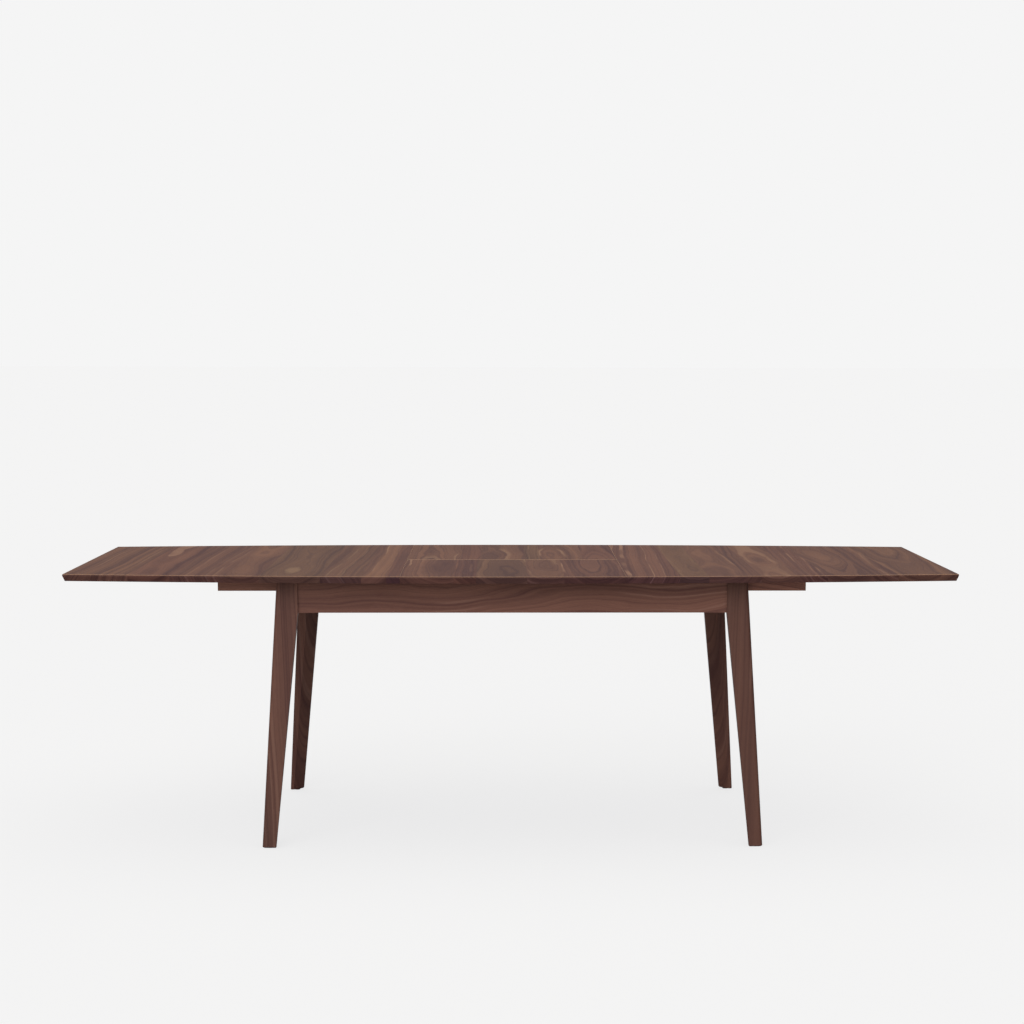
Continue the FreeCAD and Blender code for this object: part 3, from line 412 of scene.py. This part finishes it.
topWood = {
    "ringWidth": 0.0085,
    "heartDepth": 0.075,
    "wanderLeast": 0.015,
    "wanderMost": 0.06,
    "toneLeast": 0.62,
    "toneMost": 1.38,
    "taper": 0.03,
    "contrast": 1.3,
    "roughness": 0.56,
    "endLeast": 0.35,
    "heartMargin": 0.5,         # how far outside a piece the tree's heart may lie
    "chanceStart": 0.11,
    "chanceStep": 0.37,
    "seedSpread": 7.0,
    "seedNameStep": 0.9,
    "hueSpread": ((0.93, 1.08), (1.06, 0.92), (0.96, 1.02)),    # red, green and blue, least red to most red
    "arrisReach": 0.0032,
    "arrisLean": ((0.99, 0.8), (0.02, 0.3)),
    "wornAndHighlightShare": 0.85,
    "foldBand": 0.0062,         # the band each side of the fold line, painted paler as sanded wear and as a painted highlight
    "foldEdge": 0.6,            # share of the band before its soft edge
    "foldLean": (0.1, 0.4),
    "foldPale": 0.34,
}


def boardRamp(tree, share, stops):
    ramp = put(tree, "ShaderNodeValToRGB", {0: share})
    ramp.color_ramp.interpolation = "CONSTANT"
    elements = ramp.color_ramp.elements
    elements.remove(elements[1])
    for index, (place, color) in enumerate(stops):
        element = elements[0] if index == 0 else elements.new(place)
        element.position = place
        element.color = color
    return put(tree, "ShaderNodeSeparateColor", {0: ramp}).outputs


def makeTopMaterial(node, boards, look, colors):
    material, tree = newMaterial("walnut_" + node)
    low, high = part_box(node)
    reach = high.x - low.x
    margin = look["heartMargin"]
    shades = []
    figures = []
    chances = []
    for index, (left, light, red, heart, wander, streaks, endDark) in enumerate(boards):
        start = max(0.0, (left - low.x) / reach)
        chance = (index * look["chanceStep"] + look["chanceStart"]) % 1.0
        shades.append((start, (light, red, streaks, 1)))
        figures.append((start, ((heart - low.x + margin) / (reach + 2 * margin), wander, endDark, 1)))
        chances.append((start, (chance, 0, 0, 1)))
    point = put(tree, "ShaderNodeTexCoord").outputs["Object"]
    axes = put(tree, "ShaderNodeSeparateXYZ", {0: point}).outputs
    share = span(tree, axes[0], low.x, high.x)
    light, red, streaks = boardRamp(tree, share, shades)
    heart, wander, endDark = boardRamp(tree, share, figures)
    chance = boardRamp(tree, share, chances)[0]

    heart = span(tree, heart, 0.0, 1.0, low.x - margin, high.x + margin)
    depth = calc(tree, "SUBTRACT", axes[2], high.z + look["heartDepth"])
    across = calc(tree, "SUBTRACT", axes[0], heart)
    grain = put(tree, "ShaderNodeGroup", {
        "Position": put(tree, "ShaderNodeCombineXYZ", {0: across, 1: axes[1], 2: depth}),
        "Seed": calc(tree, "MULTIPLY_ADD", chance, look["seedSpread"], len(node) * look["seedNameStep"]),
        "Light": colors["light"],
        "Dark": colors["dark"],
        "Pale": colors["pale"],
        "Ring Width": look["ringWidth"],
        "Wander": span(tree, wander, 0, 1, look["wanderLeast"], look["wanderMost"]),
        "Taper": span(tree, chance, 0, 1, -look["taper"], look["taper"]),
        "Contrast": look["contrast"],
        "Pale Streaks": streaks,
    }, node_tree=walnutGroup).outputs

    tone = span(tree, light, 0, 1, look["toneLeast"], look["toneMost"])
    hues = [calc(tree, "MULTIPLY", tone, span(tree, red, 0, 1, *ends)) for ends in look["hueSpread"]]
    tint = put(tree, "ShaderNodeCombineColor", dict(enumerate(hues)))
    color = blendColor(tree, 1.0, grain["Color"], tint, "MULTIPLY")

    normal = put(tree, "ShaderNodeNewGeometry").outputs["Normal"]
    lean = put(tree, "ShaderNodeSeparateXYZ", {0: normal}).outputs[2]
    # the eased top arris is painted paler: partly wear, partly a painted highlight where the rounding
    # catches light
    nearTop = calc(tree, "GREATER_THAN", axes[2], high.z - look["arrisReach"])
    eased = calc(tree, "MULTIPLY", *(span(tree, lean, *ends) for ends in look["arrisLean"]))
    color = put(tree, "ShaderNodeGroup", {
        "Color": color,
        "Along": (0, 1, 0),
        "End Color": colors["endTint"],
        "End Amount": span(tree, endDark, 0, 1, look["endLeast"], 1.0),
        "Wear And Highlight": calc(tree, "MULTIPLY", calc(tree, "MULTIPLY", nearTop, eased), look["wornAndHighlightShare"]),
        "Worn And Highlight Color": colors["wornAndHighlight"],
    }, node_tree=endGroup).outputs["Color"]
    if "leaf" in node:
        # a pale band each side of the fold: partly sanded wear, partly a painted highlight of the eased fold
        # edges
        fromFold = calc(tree, "ABSOLUTE", axes[1])
        band = look["foldBand"]
        sandedAndHighlit = span(tree, fromFold, band, band * look["foldEdge"], smooth=True)
        upward = calc(tree, "MULTIPLY", sandedAndHighlit, span(tree, lean, *look["foldLean"]))
        color = blendColor(tree, calc(tree, "MULTIPLY", upward, look["foldPale"]), color, colors["fold"])
    finishWood(tree, color, grain, look["roughness"], oilFinish)
    return material


def give(node, material):
    mesh = nodes[node].data
    for index in range(len(mesh.materials)):
        mesh.materials[index] = material
    if not mesh.materials:
        mesh.materials.append(material)


for node, boards in topBoards.items():
    give(node, makeTopMaterial(node, boards, topWood, walnutColors))
print("top boards matched and glued:", sum(len(boards) for boards in topBoards.values()))

# Grain is the axis that the wood runs along; heart is where the tree's heart lay, in the same frame.
solidWood = {
    "apron_front": {"grain": "X", "heart": (0.0, -0.33, 0.60), "seed": 2.6, "tone": 1.24,
                    "wander": 0.10, "slope": -0.05, "bold": 0.85},
    "apron_rear": {"grain": "X", "heart": (0.0, 0.33, 0.62), "seed": 5.1, "tone": 1.05,
                   "wander": 0.10, "slope": 0.03},
    "apron_left_end": {"grain": "Y", "heart": (-0.70, 0.0, 0.60), "seed": 7.7, "tone": 1.05,
                       "wander": 0.09},
    "apron_right_end": {"grain": "Y", "heart": (0.70, 0.0, 0.64), "seed": 8.3, "tone": 1.05,
                        "wander": 0.09},
    "leg_front_left": {"grain": "Z", "heart": (-0.52, -0.30, 0.4), "seed": 1.4, "tone": 0.95, "foot": 0.74,
                       "wander": 0.02, "bold": 0.8},
    "leg_front_right": {"grain": "Z", "heart": (0.52, -0.31, 0.4), "seed": 3.9, "tone": 0.76, "foot": 0.72,
                        "wander": 0.02, "bold": 0.55},
    "leg_rear_left": {"grain": "Z", "heart": (-0.52, 0.30, 0.4), "seed": 6.2, "tone": 0.86,
                      "wander": 0.02},
    "leg_rear_right": {"grain": "Z", "heart": (0.52, 0.30, 0.4), "seed": 9.5, "tone": 0.88,
                       "wander": 0.02},
    "rail_left_front": {"grain": "X", "heart": (-0.7, -0.30, 0.66), "seed": 4.4, "tone": 1.35,
                        "wander": 0.05},
    "rail_right_front": {"grain": "X", "heart": (0.7, -0.30, 0.66), "seed": 2.2, "tone": 1.8,
                         "wander": 0.05, "slope": 0.10},
    "rail_left_rear": {"grain": "X", "heart": (-0.7, 0.30, 0.66), "seed": 7.1, "tone": 1.1,
                       "wander": 0.05},
    "rail_right_rear": {"grain": "X", "heart": (0.7, 0.30, 0.66), "seed": 8.8, "tone": 1.1,
                        "wander": 0.05},
    "cleat_left": {"grain": "Y", "heart": (-0.60, 0.0, 0.66), "seed": 3.3, "tone": 1.1, "wander": 0.05},
    "cleat_right": {"grain": "Y", "heart": (0.60, 0.0, 0.66), "seed": 4.9, "tone": 1.1, "wander": 0.05},
    "end_batten_left": {"grain": "Y", "heart": (-1.02, 0.0, 0.66), "seed": 5.9, "tone": 1.1,
                        "wander": 0.05},
    "end_batten_right": {"grain": "Y", "heart": (1.02, 0.0, 0.66), "seed": 6.6, "tone": 1.1,
                         "wander": 0.05},
    "leaf_bearer_left": {"grain": "Y", "heart": (-0.15, 0.0, 0.60), "seed": 1.9, "tone": 1.15,
                         "wander": 0.04},
    "leaf_bearer_right": {"grain": "Y", "heart": (0.15, 0.0, 0.60), "seed": 2.9, "tone": 1.15,
                          "wander": 0.04},
    "rack_block_left": {"grain": "X", "heart": (-0.3, 0.25, 0.66), "seed": 3.7, "tone": 1.15,
                        "wander": 0.03},
    "rack_block_right": {"grain": "X", "heart": (0.3, 0.25, 0.66), "seed": 4.1, "tone": 1.15,
                         "wander": 0.03},
    "corner_braces": {"grain": "X", "heart": (0.0, 0.0, 0.60), "seed": 5.5, "tone": 1.2,
                      "wander": 0.05},
}

solidLook = {
    "ringWidth": 0.0075,
    "taper": 0.01,
    "contrast": 1.15,
    "paleStreaks": 0.2,
    "roughness": 0.52,
    "endAmount": 0.9,
    "redTint": (1.00, 1.00, 1.36),
    "footRise": (0.0, 0.65),    # painted shade: legs darken from the second height down to the first
}
# Which axes go across, along and into the wood.
grainAxes = {"X": (2, 0, 1), "Y": (0, 1, 2), "Z": (0, 2, 1)}


def makeSolidMaterial(node, wood, look, colors):
    material, tree = newMaterial("walnut_" + node)
    point = put(tree, "ShaderNodeTexCoord").outputs["Object"]
    fromHeart = vectorCalc(tree, "SUBTRACT", point, wood["heart"])
    axes = put(tree, "ShaderNodeSeparateXYZ", {0: fromHeart}).outputs
    across, along, into = grainAxes[wood["grain"]]
    sloped = calc(tree, "MULTIPLY_ADD", axes[along], wood.get("slope", 0.0), axes[across])
    grain = put(tree, "ShaderNodeGroup", {
        "Position": put(tree, "ShaderNodeCombineXYZ", {0: sloped, 1: axes[along], 2: axes[into]}),
        "Seed": wood["seed"],
        "Light": colors["light"],
        "Dark": colors["dark"],
        "Pale": colors["pale"],
        "Ring Width": look["ringWidth"],
        "Wander": wood["wander"],
        "Taper": look["taper"],
        "Contrast": look["contrast"] * wood.get("bold", 1.0),
        "Pale Streaks": look["paleStreaks"],
    }, node_tree=walnutGroup).outputs
    tint = [wood["tone"] * part for part in look["redTint"]] + [1]
    color = blendColor(tree, 1.0, grain["Color"], tint, "MULTIPLY")
    # painted shade on the legs: darker towards the foot, standing in for less light near the floor
    if "foot" in wood:
        height = put(tree, "ShaderNodeSeparateXYZ", {0: point}).outputs[2]
        shade = span(tree, height, *look["footRise"], wood["foot"] / wood["tone"], 1.0)
        grey = put(tree, "ShaderNodeCombineColor", {0: shade, 1: shade, 2: shade})
        color = blendColor(tree, 1.0, color, grey, "MULTIPLY")
    color = put(tree, "ShaderNodeGroup", {
        "Color": color,
        "Along": [1.0 if axis == wood["grain"] else 0.0 for axis in "XYZ"],
        "End Color": colors["endTint"],
        "End Amount": look["endAmount"],
        "Wear And Highlight": 0.0,
    }, node_tree=endGroup).outputs["Color"]
    finishWood(tree, color, grain, look["roughness"], oilFinish)
    return material


for node, wood in solidWood.items():
    give(node, makeSolidMaterial(node, wood, solidLook, walnutColors))
print("solid walnut parts finished:", len(solidWood))

metals = {
    "zincPlate": {
        "color": (0.56, 0.57, 0.58, 1), "tarnish": (0.36, 0.37, 0.39, 1), "roughness": 0.36, "brush": 240},
    "brightSteel": {
        "color": (0.64, 0.64, 0.65, 1), "tarnish": (0.42, 0.42, 0.43, 1), "roughness": 0.24, "brush": 420},
    "brass": {
        "color": (0.66, 0.46, 0.18, 1), "tarnish": (0.36, 0.23, 0.10, 1), "roughness": 0.28, "brush": 500},
}
metalWear = {
    "stainScale": (28, 28, 28),
    "stainRange": (0.42, 0.72),
    "stainRoughness": 0.18,
    "brushStretch": 0.06,       # brush lines run long in X
    "brushRoughness": 0.14,
    "brushDepth": 0.00003,
}


def makeMetal(name, look, wear):
    material, tree = newMaterial(name)
    point = put(tree, "ShaderNodeTexCoord").outputs["Object"]
    stain = noise(tree, point, wear["stainScale"], 4.0, 0.6)
    brush = look["brush"]
    scratch = noise(tree, point, (brush * wear["brushStretch"], brush, brush))
    amount = span(tree, stain, *wear["stainRange"])
    color = blendColor(tree, amount, look["color"], look["tarnish"])
    least = look["roughness"] - wear["brushRoughness"] / 2
    rough = calc(tree, "MULTIPLY_ADD", scratch, wear["brushRoughness"], least)
    rough = calc(tree, "MULTIPLY_ADD", amount, wear["stainRoughness"], rough)
    bump = put(tree, "ShaderNodeBump", {"Height": scratch, "Distance": wear["brushDepth"], "Strength": 0.5})
    feeds = {"Base Color": color, "Roughness": rough, "Metallic": 1.0, "Normal": bump}
    put(tree, "ShaderNodeOutputMaterial", {"Surface": put(tree, "ShaderNodeBsdfPrincipled", feeds)})
    return material


nylonLook = {
    "color": (0.035, 0.034, 0.033, 1),
    "dusty": (0.075, 0.068, 0.060, 1),
    "dustScale": (35, 35, 35),
    "dustRange": (0.45, 0.75),
    "dustRoughness": 0.2,
    "roughness": 0.42,
    "gritScale": (900, 900, 900),
    "gritDepth": 0.00004,
}


def makeNylon(look):
    material, tree = newMaterial("nylon")
    point = put(tree, "ShaderNodeTexCoord").outputs["Object"]
    grit = noise(tree, point, look["gritScale"])
    dust = span(tree, noise(tree, point, look["dustScale"], 3.0), *look["dustRange"])
    color = blendColor(tree, dust, look["color"], look["dusty"])
    rough = calc(tree, "MULTIPLY_ADD", dust, look["dustRoughness"], look["roughness"])
    bump = put(tree, "ShaderNodeBump", {"Height": grit, "Distance": look["gritDepth"], "Strength": 0.5})
    feeds = {"Base Color": color, "Roughness": rough, "Normal": bump}
    put(tree, "ShaderNodeOutputMaterial", {"Surface": put(tree, "ShaderNodeBsdfPrincipled", feeds)})
    return material


feltLook = {
    "roots": (0.028, 0.019, 0.014, 1),
    "tips": (0.075, 0.052, 0.038, 1),
    "clumps": (0.11, 0.08, 0.06, 1),
    "fuzzScale": (1400, 1400, 1400),
    "fuzzRange": (0.35, 0.7),
    "fuzzDepth": 0.0003,
    "clumpScale": (220, 220, 220),
    "clumpRange": (0.4, 0.8),
    "clumpMost": 0.4,
    "roughness": 0.95,
    "sheen": 0.5,
}


def makeFelt(look):
    material, tree = newMaterial("brownFelt")
    point = put(tree, "ShaderNodeTexCoord").outputs["Object"]
    fuzz = noise(tree, point, look["fuzzScale"], 4.0, 0.75)
    clump = noise(tree, point, look["clumpScale"], 3.0)
    color = blendColor(tree, span(tree, fuzz, *look["fuzzRange"]), look["roots"], look["tips"])
    amount = span(tree, clump, *look["clumpRange"], 0.0, look["clumpMost"])
    color = blendColor(tree, amount, color, look["clumps"])
    bump = put(tree, "ShaderNodeBump", {"Height": fuzz, "Distance": look["fuzzDepth"], "Strength": 0.9})
    feeds = {"Base Color": color, "Roughness": look["roughness"], "Normal": bump}
    feeds["Sheen Weight"] = look["sheen"]
    put(tree, "ShaderNodeOutputMaterial", {"Surface": put(tree, "ShaderNodeBsdfPrincipled", feeds)})
    return material


finishes = {
    "zinc_steel": makeMetal("zincPlate", metals["zincPlate"], metalWear),
    "bright_steel": makeMetal("brightSteel", metals["brightSteel"], metalWear),
    "brass": makeMetal("brass", metals["brass"], metalWear),
    "nylon": makeNylon(nylonLook),
    "felt": makeFelt(feltLook),
}
slotOf = {row["node"]: row["material_slot"] for row in frame["record"]["subparts"]}
for node in nodes:
    if node not in topBoards and node not in solidWood:
        give(node, finishes[slotOf[node]])
print("metal, nylon and felt finished")


def newGeometryTree(name, inputs):
    tree = bpy.data.node_groups.new(name, "GeometryNodeTree")
    tree.interface.new_socket(name="Geometry", in_out="INPUT", socket_type="NodeSocketGeometry")
    for label, kind in inputs:
        tree.interface.new_socket(name=label, in_out="INPUT", socket_type="NodeSocket" + kind)
    tree.interface.new_socket(name="Geometry", in_out="OUTPUT", socket_type="NodeSocketGeometry")
    return tree, tree.nodes.new("NodeGroupInput").outputs


def endGeometryTree(tree, geometry, material):
    whole = put(tree, "GeometryNodeRealizeInstances", {"Geometry": geometry})
    painted = put(tree, "GeometryNodeSetMaterial", {"Geometry": whole, "Material": material})
    put(tree, "NodeGroupOutput", {"Geometry": painted})


def growMesh(name, seed, tree, values):
    # runs the tree on the seed mesh and keeps the result as a plain mesh
    maker = bpy.data.objects.new(name + "Maker", seed)
    bpy.context.scene.collection.objects.link(maker)
    modifier = maker.modifiers.new("grow", "NODES")
    modifier.node_group = tree
    for item in tree.interface.items_tree:
        if item.in_out == "INPUT" and item.name in values:
            modifier[item.identifier] = values[item.name]
    grown = maker.evaluated_get(bpy.context.evaluated_depsgraph_get())
    piece = bpy.data.objects.new(name, bpy.data.meshes.new_from_object(grown))
    maker.modifiers.remove(modifier)
    bpy.data.objects.remove(maker)
    bpy.context.scene.collection.objects.link(piece)
    return piece


screwShape = {
    "headSides": 20,
    "shankSides": 10,
    "recessArm": 0.62,          # of the head's radius
    "recessHalfWidth": 0.13,
    "recessDepth": 0.0006,
    "recessFloor": 0.8,         # of the recess's width at the face
    "crown": 0.1,               # how far the head's rim is eased, of its radius
    "rimDrop": 0.35,            # where the easing starts, of the head's height
    "tipShare": 0.2,
    "tipRadius": 0.25,
    "turnSeed": 7,
    "weldWithin": 0.00002,
    "endSlack": 0.0001,
    "headEdge": 0.9,            # points this far out belong to the head's side
}


def ring(sides, radius, z):
    return [Vector((radius * math.cos(t), radius * math.sin(t), z))
            for t in (2 * math.pi * i / sides for i in range(sides))]


def crossOutline(arm, half, z):
    corner = [(half, half), (half, arm), (-half, arm)]
    points = []
    for quarter in range(4):
        turn = Matrix.Rotation(quarter * math.pi / 2, 2)
        points += [Vector((*(turn @ Vector(point)), z)) for point in corner]
    return points


def bandFaces(mesh, lower, upper):
    count = len(lower)
    for i in range(count):
        mesh.faces.new((lower[i], lower[(i + 1) % count], upper[(i + 1) % count], upper[i]))


def loopEdges(mesh, line):
    return [mesh.edges.get((line[i], line[(i + 1) % len(line)])) for i in range(len(line))]


def headShape(shape, height):
    # A screw head of radius one, its face at height zero, with a cross let into it.
    mesh = bmesh.new()
    sides = shape["headSides"]
    arm = shape["recessArm"]
    half = shape["recessHalfWidth"]
    share = shape["recessFloor"]
    base = [mesh.verts.new(point) for point in ring(sides, 1, -height)]
    rim = [mesh.verts.new(point) for point in ring(sides, 1, -height * shape["rimDrop"])]
    face = [mesh.verts.new(point) for point in ring(sides, 1 - shape["crown"], 0)]
    lip = [mesh.verts.new(point) for point in crossOutline(arm, half, 0)]
    deep = -shape["recessDepth"]
    floor = [mesh.verts.new(point) for point in crossOutline(arm * share, half * share, deep)]
    mesh.faces.new(base[::-1])
    bandFaces(mesh, base, rim)
    bandFaces(mesh, rim, face)
    bandFaces(mesh, floor, lip)
    mesh.faces.new(floor)
    bmesh.ops.triangle_fill(mesh, use_beauty=True, edges=loopEdges(mesh, face) + loopEdges(mesh, lip))
    return finishShape("screwHead", mesh)


def shankShape(shape):
    # A shank of radius one and length one, pointing down from height zero.
    mesh = bmesh.new()
    sides = shape["shankSides"]
    rows = [(1, 0), (1, -(1 - shape["tipShare"])), (shape["tipRadius"], -1)]
    rings = [[mesh.verts.new(point) for point in ring(sides, radius, z)] for radius, z in rows]
    mesh.faces.new(rings[0])
    mesh.faces.new(rings[-1][::-1])
    for upper, lower in zip(rings, rings[1:]):
        bandFaces(mesh, lower, upper)
    return finishShape("screwShank", mesh)


def finishShape(name, mesh):
    bmesh.ops.recalc_face_normals(mesh, faces=mesh.faces)
    data = bpy.data.meshes.new(name)
    mesh.to_mesh(data)
    mesh.free()
    shape = bpy.data.objects.new(name, data)
    bpy.context.scene.collection.objects.link(shape)
    return shape


def makeScrewTree():
    tree, given = newGeometryTree(
        "screwsOnPoints",
        [("Head", "Object"), ("Shank", "Object"), ("Head Height", "Float"), ("Turn Seed", "Int"),
         ("Finish", "Material")],
    )
    facing, headSize, shankSize = [
        put(tree, "GeometryNodeInputNamedAttribute", {"Name": name}, data_type="FLOAT_VECTOR")
        for name in ("facing", "headSize", "shankSize")]
    spin = put(tree, "FunctionNodeRandomValue", data_type="FLOAT")
    for socket in spin.inputs:
        if socket.name == "Max" and socket.type == "VALUE":
            socket.default_value = math.pi
        if socket.name == "Seed":
            tree.links.new(given["Turn Seed"], socket)
    amount = next(socket for socket in spin.outputs if socket.type == "VALUE" and socket.enabled)
    turn = put(tree, "FunctionNodeAxisAngleToRotation", {"Axis": (0, 0, 1), "Angle": amount})
    aim = put(tree, "FunctionNodeAlignRotationToVector", {"Rotation": turn, "Vector": facing}, axis="Z")
    parts = []
    for label, size in (("Head", headSize), ("Shank", shankSize)):
        shape = put(tree, "GeometryNodeObjectInfo", {"Object": given[label]}).outputs["Geometry"]
        feeds = {"Points": given["Geometry"], "Instance": shape, "Rotation": aim, "Scale": size}
        parts.append(put(tree, "GeometryNodeInstanceOnPoints", feeds).outputs[0])
    drop = put(tree, "ShaderNodeCombineXYZ", {2: calc(tree, "MULTIPLY", given["Head Height"], -1.0)})
    feeds = {"Instances": parts[1], "Translation": drop}
    parts[1] = put(tree, "GeometryNodeTranslateInstances", feeds).outputs[0]
    joined = tree.nodes.new("GeometryNodeJoinGeometry")
    for part in parts:
        tree.links.new(part, joined.inputs[0])
    endGeometryTree(tree, joined, given["Finish"])
    return tree


def islands(node, weldWithin):
    # the separate screws of a CAD node, each as its list of points
    mesh = bmesh.new()
    mesh.from_mesh(nodes[node].data)
    bmesh.ops.remove_doubles(mesh, verts=mesh.verts, dist=weldWithin)
    left = set(mesh.verts)
    found = []
    while left:
        group = [left.pop()]
        for vert in group:
            for edge in vert.link_edges:
                other = edge.other_vert(vert)
                if other in left:
                    left.remove(other)
                    group.append(other)
        found.append([vert.co.copy() for vert in group])
    mesh.free()
    return sorted(found, key=lambda points: (round(points[0].x, 3), round(points[0].y, 3)))


def readScrew(points, shape):
    # head centre, direction out of the head, head radius, head height, shank radius and shank length
    low = Vector([min(point[i] for point in points) for i in range(3)])
    high = Vector([max(point[i] for point in points) for i in range(3)])
    middle = (low + high) / 2
    axis = max(range(3), key=lambda i: high[i] - low[i])
    slack = shape["endSlack"]

    def reach(point):
        away = point - middle
        away[axis] = 0
        return away.length

    atLow = max(reach(point) for point in points if point[axis] < low[axis] + slack)
    atHigh = max(reach(point) for point in points if point[axis] > high[axis] - slack)
    sign = 1 if atHigh > atLow else -1
    headPlace = high[axis] if sign > 0 else low[axis]
    headRadius = max(atLow, atHigh)
    headSide = [point for point in points if reach(point) > headRadius * shape["headEdge"]]
    headHeight = max(abs(point[axis] - headPlace) for point in headSide)
    head = middle.copy()
    head[axis] = headPlace
    facing = Vector((0, 0, 0))
    facing[axis] = sign
    return head, facing, headRadius, headHeight, min(atLow, atHigh), high[axis] - low[axis] - headHeight


def pointMesh(name, places, vectors):
    mesh = bpy.data.meshes.new(name)
    mesh.from_pydata([tuple(place) for place in places], [], [])
    for label, values in vectors.items():
        attribute = mesh.attributes.new(label, "FLOAT_VECTOR", "POINT")
        attribute.data.foreach_set("vector", [number for value in values for number in value])
    return mesh


screwNodes = {
    "base": ["base_screws"],
    "left_half": ["top_screws_left", "slide_inner_screws_left"],
    "right_half": ["top_screws_right", "slide_inner_screws_right"],
    "leaf_rear": ["leaf_screws_rear"],
    "leaf_front": ["leaf_screws_front"],
}


def makeScrews(screwNodes, shape):
    tree = makeScrewTree()
    shank = shankShape(shape)
    total = 0
    for body, members in screwNodes.items():
        groups = [points for member in members for points in islands(member, shape["weldWithin"])]
        screws = [readScrew(points, shape) for points in groups]
        height = max(screw[3] for screw in screws)
        head = headShape(shape, height)
        seed = pointMesh(body + "Screws", [screw[0] for screw in screws], {
            "facing": [screw[1] for screw in screws],
            "headSize": [(screw[2], screw[2], 1) for screw in screws],
            "shankSize": [(screw[4], screw[4], screw[5]) for screw in screws],
        })
        piece = growMesh("crossHeadScrews_" + body, seed, tree, {
            "Head": head, "Shank": shank, "Head Height": height, "Turn Seed": shape["turnSeed"],
            "Finish": finishes["bright_steel"]})
        bpy.data.objects.remove(head)
        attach(piece, body)
        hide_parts(*members)
        total += len(screws)
    bpy.data.objects.remove(shank)
    print("screws with cross recesses:", total)


makeScrews(screwNodes, screwShape)

slideBalls = {
    "ballRadius": 0.00098,
    "spacing": 0.0072,
    "metal": 0.0012,            # the members' sheet
    "gap": 0.002,               # between nested members, where the balls run
    "endRoom": 0.020,
    "cageWidth": 0.0040,
    "cageThickness": 0.0004,
    "endToCage": 0.004,
    "memberHalfDepth": 0.0045,
}


def makeBallTree():
    # each edge of the seed mesh becomes a row of balls held in a thin strip
    tree, given = newGeometryTree(
        "ballsInCages",
        [("Ball Radius", "Float"), ("Spacing", "Float"), ("Cage Width", "Float"),
         ("Cage Thickness", "Float"), ("Cage Past Ball", "Float"), ("Finish", "Material")],
    )
    path = put(tree, "GeometryNodeMeshToCurve", {"Mesh": given["Geometry"]})
    inner = put(tree, "GeometryNodeTrimCurve", mode="LENGTH")
    feed(tree, path, inner.inputs["Curve"])
    length = put(tree, "GeometryNodeSplineLength").outputs["Length"]
    starts = [socket for socket in inner.inputs if socket.name == "Start"]
    ends = [socket for socket in inner.inputs if socket.name == "End"]
    feed(tree, given["Cage Past Ball"], starts[-1])
    feed(tree, calc(tree, "SUBTRACT", length, given["Cage Past Ball"]), ends[-1])
    feeds = {"Curve": inner, "Length": given["Spacing"]}
    places = put(tree, "GeometryNodeResampleCurve", feeds, mode="LENGTH")
    ball = put(tree, "GeometryNodeMeshIcoSphere", {"Radius": given["Ball Radius"], "Subdivisions": 2})
    balls = put(tree, "GeometryNodeInstanceOnPoints", {"Points": places, "Instance": ball})
    profile = put(tree, "GeometryNodeCurvePrimitiveQuadrilateral",
                  {"Width": given["Cage Width"], "Height": given["Cage Thickness"]})
    feeds = {"Curve": path, "Profile Curve": profile, "Fill Caps": True}
    strip = put(tree, "GeometryNodeCurveToMesh", feeds)
    joined = tree.nodes.new("GeometryNodeJoinGeometry")
    tree.links.new(balls.outputs[0], joined.inputs[0])
    tree.links.new(strip.outputs[0], joined.inputs[0])
    endGeometryTree(tree, joined, given["Finish"])
    return tree


def makeBalls(look):
    tree = makeBallTree()
    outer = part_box("slide_outer_members")
    for side, sign in (("left", -1), ("right", 1)):
        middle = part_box("slide_middle_members_" + side)
        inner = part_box("slide_inner_members_" + side)
        near, far = (1, 0) if sign < 0 else (0, 1)      # a member's end near the middle, and its far end
        spans = {
            "outer": sorted([sign * outer[1].x, middle[near].x]),
            "inner": sorted([inner[near].x, middle[far].x]),
        }
        centreZ = (middle[0].z + middle[1].z) / 2
        half = (middle[1].z - middle[0].z) / 2
        levels = {"outer": half + look["gap"] / 2, "inner": half - look["metal"] - look["gap"] / 2}
        points = []
        for layer, (start, end) in spans.items():
            for rear in (-1, 1):
                for up in (-1, 1):
                    y = rear * (middle[1].y - look["memberHalfDepth"])
                    z = centreZ + up * levels[layer]
                    points += [(start + look["endRoom"], y, z), (end - look["endRoom"], y, z)]
        seed = bpy.data.meshes.new(side + "Balls")
        seed.from_pydata(points, [(i, i + 1) for i in range(0, len(points), 2)], [])
        piece = growMesh("slide_balls_" + side, seed, tree, {
            "Ball Radius": look["ballRadius"], "Spacing": look["spacing"], "Cage Width": look["cageWidth"],
            "Cage Thickness": look["cageThickness"], "Cage Past Ball": look["endToCage"],
            "Finish": finishes["bright_steel"]})
        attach(piece, side + "_slide_middles")
        print("slide balls and cages,", side + ":", len(piece.data.polygons), "faces")


makeBalls(slideBalls)
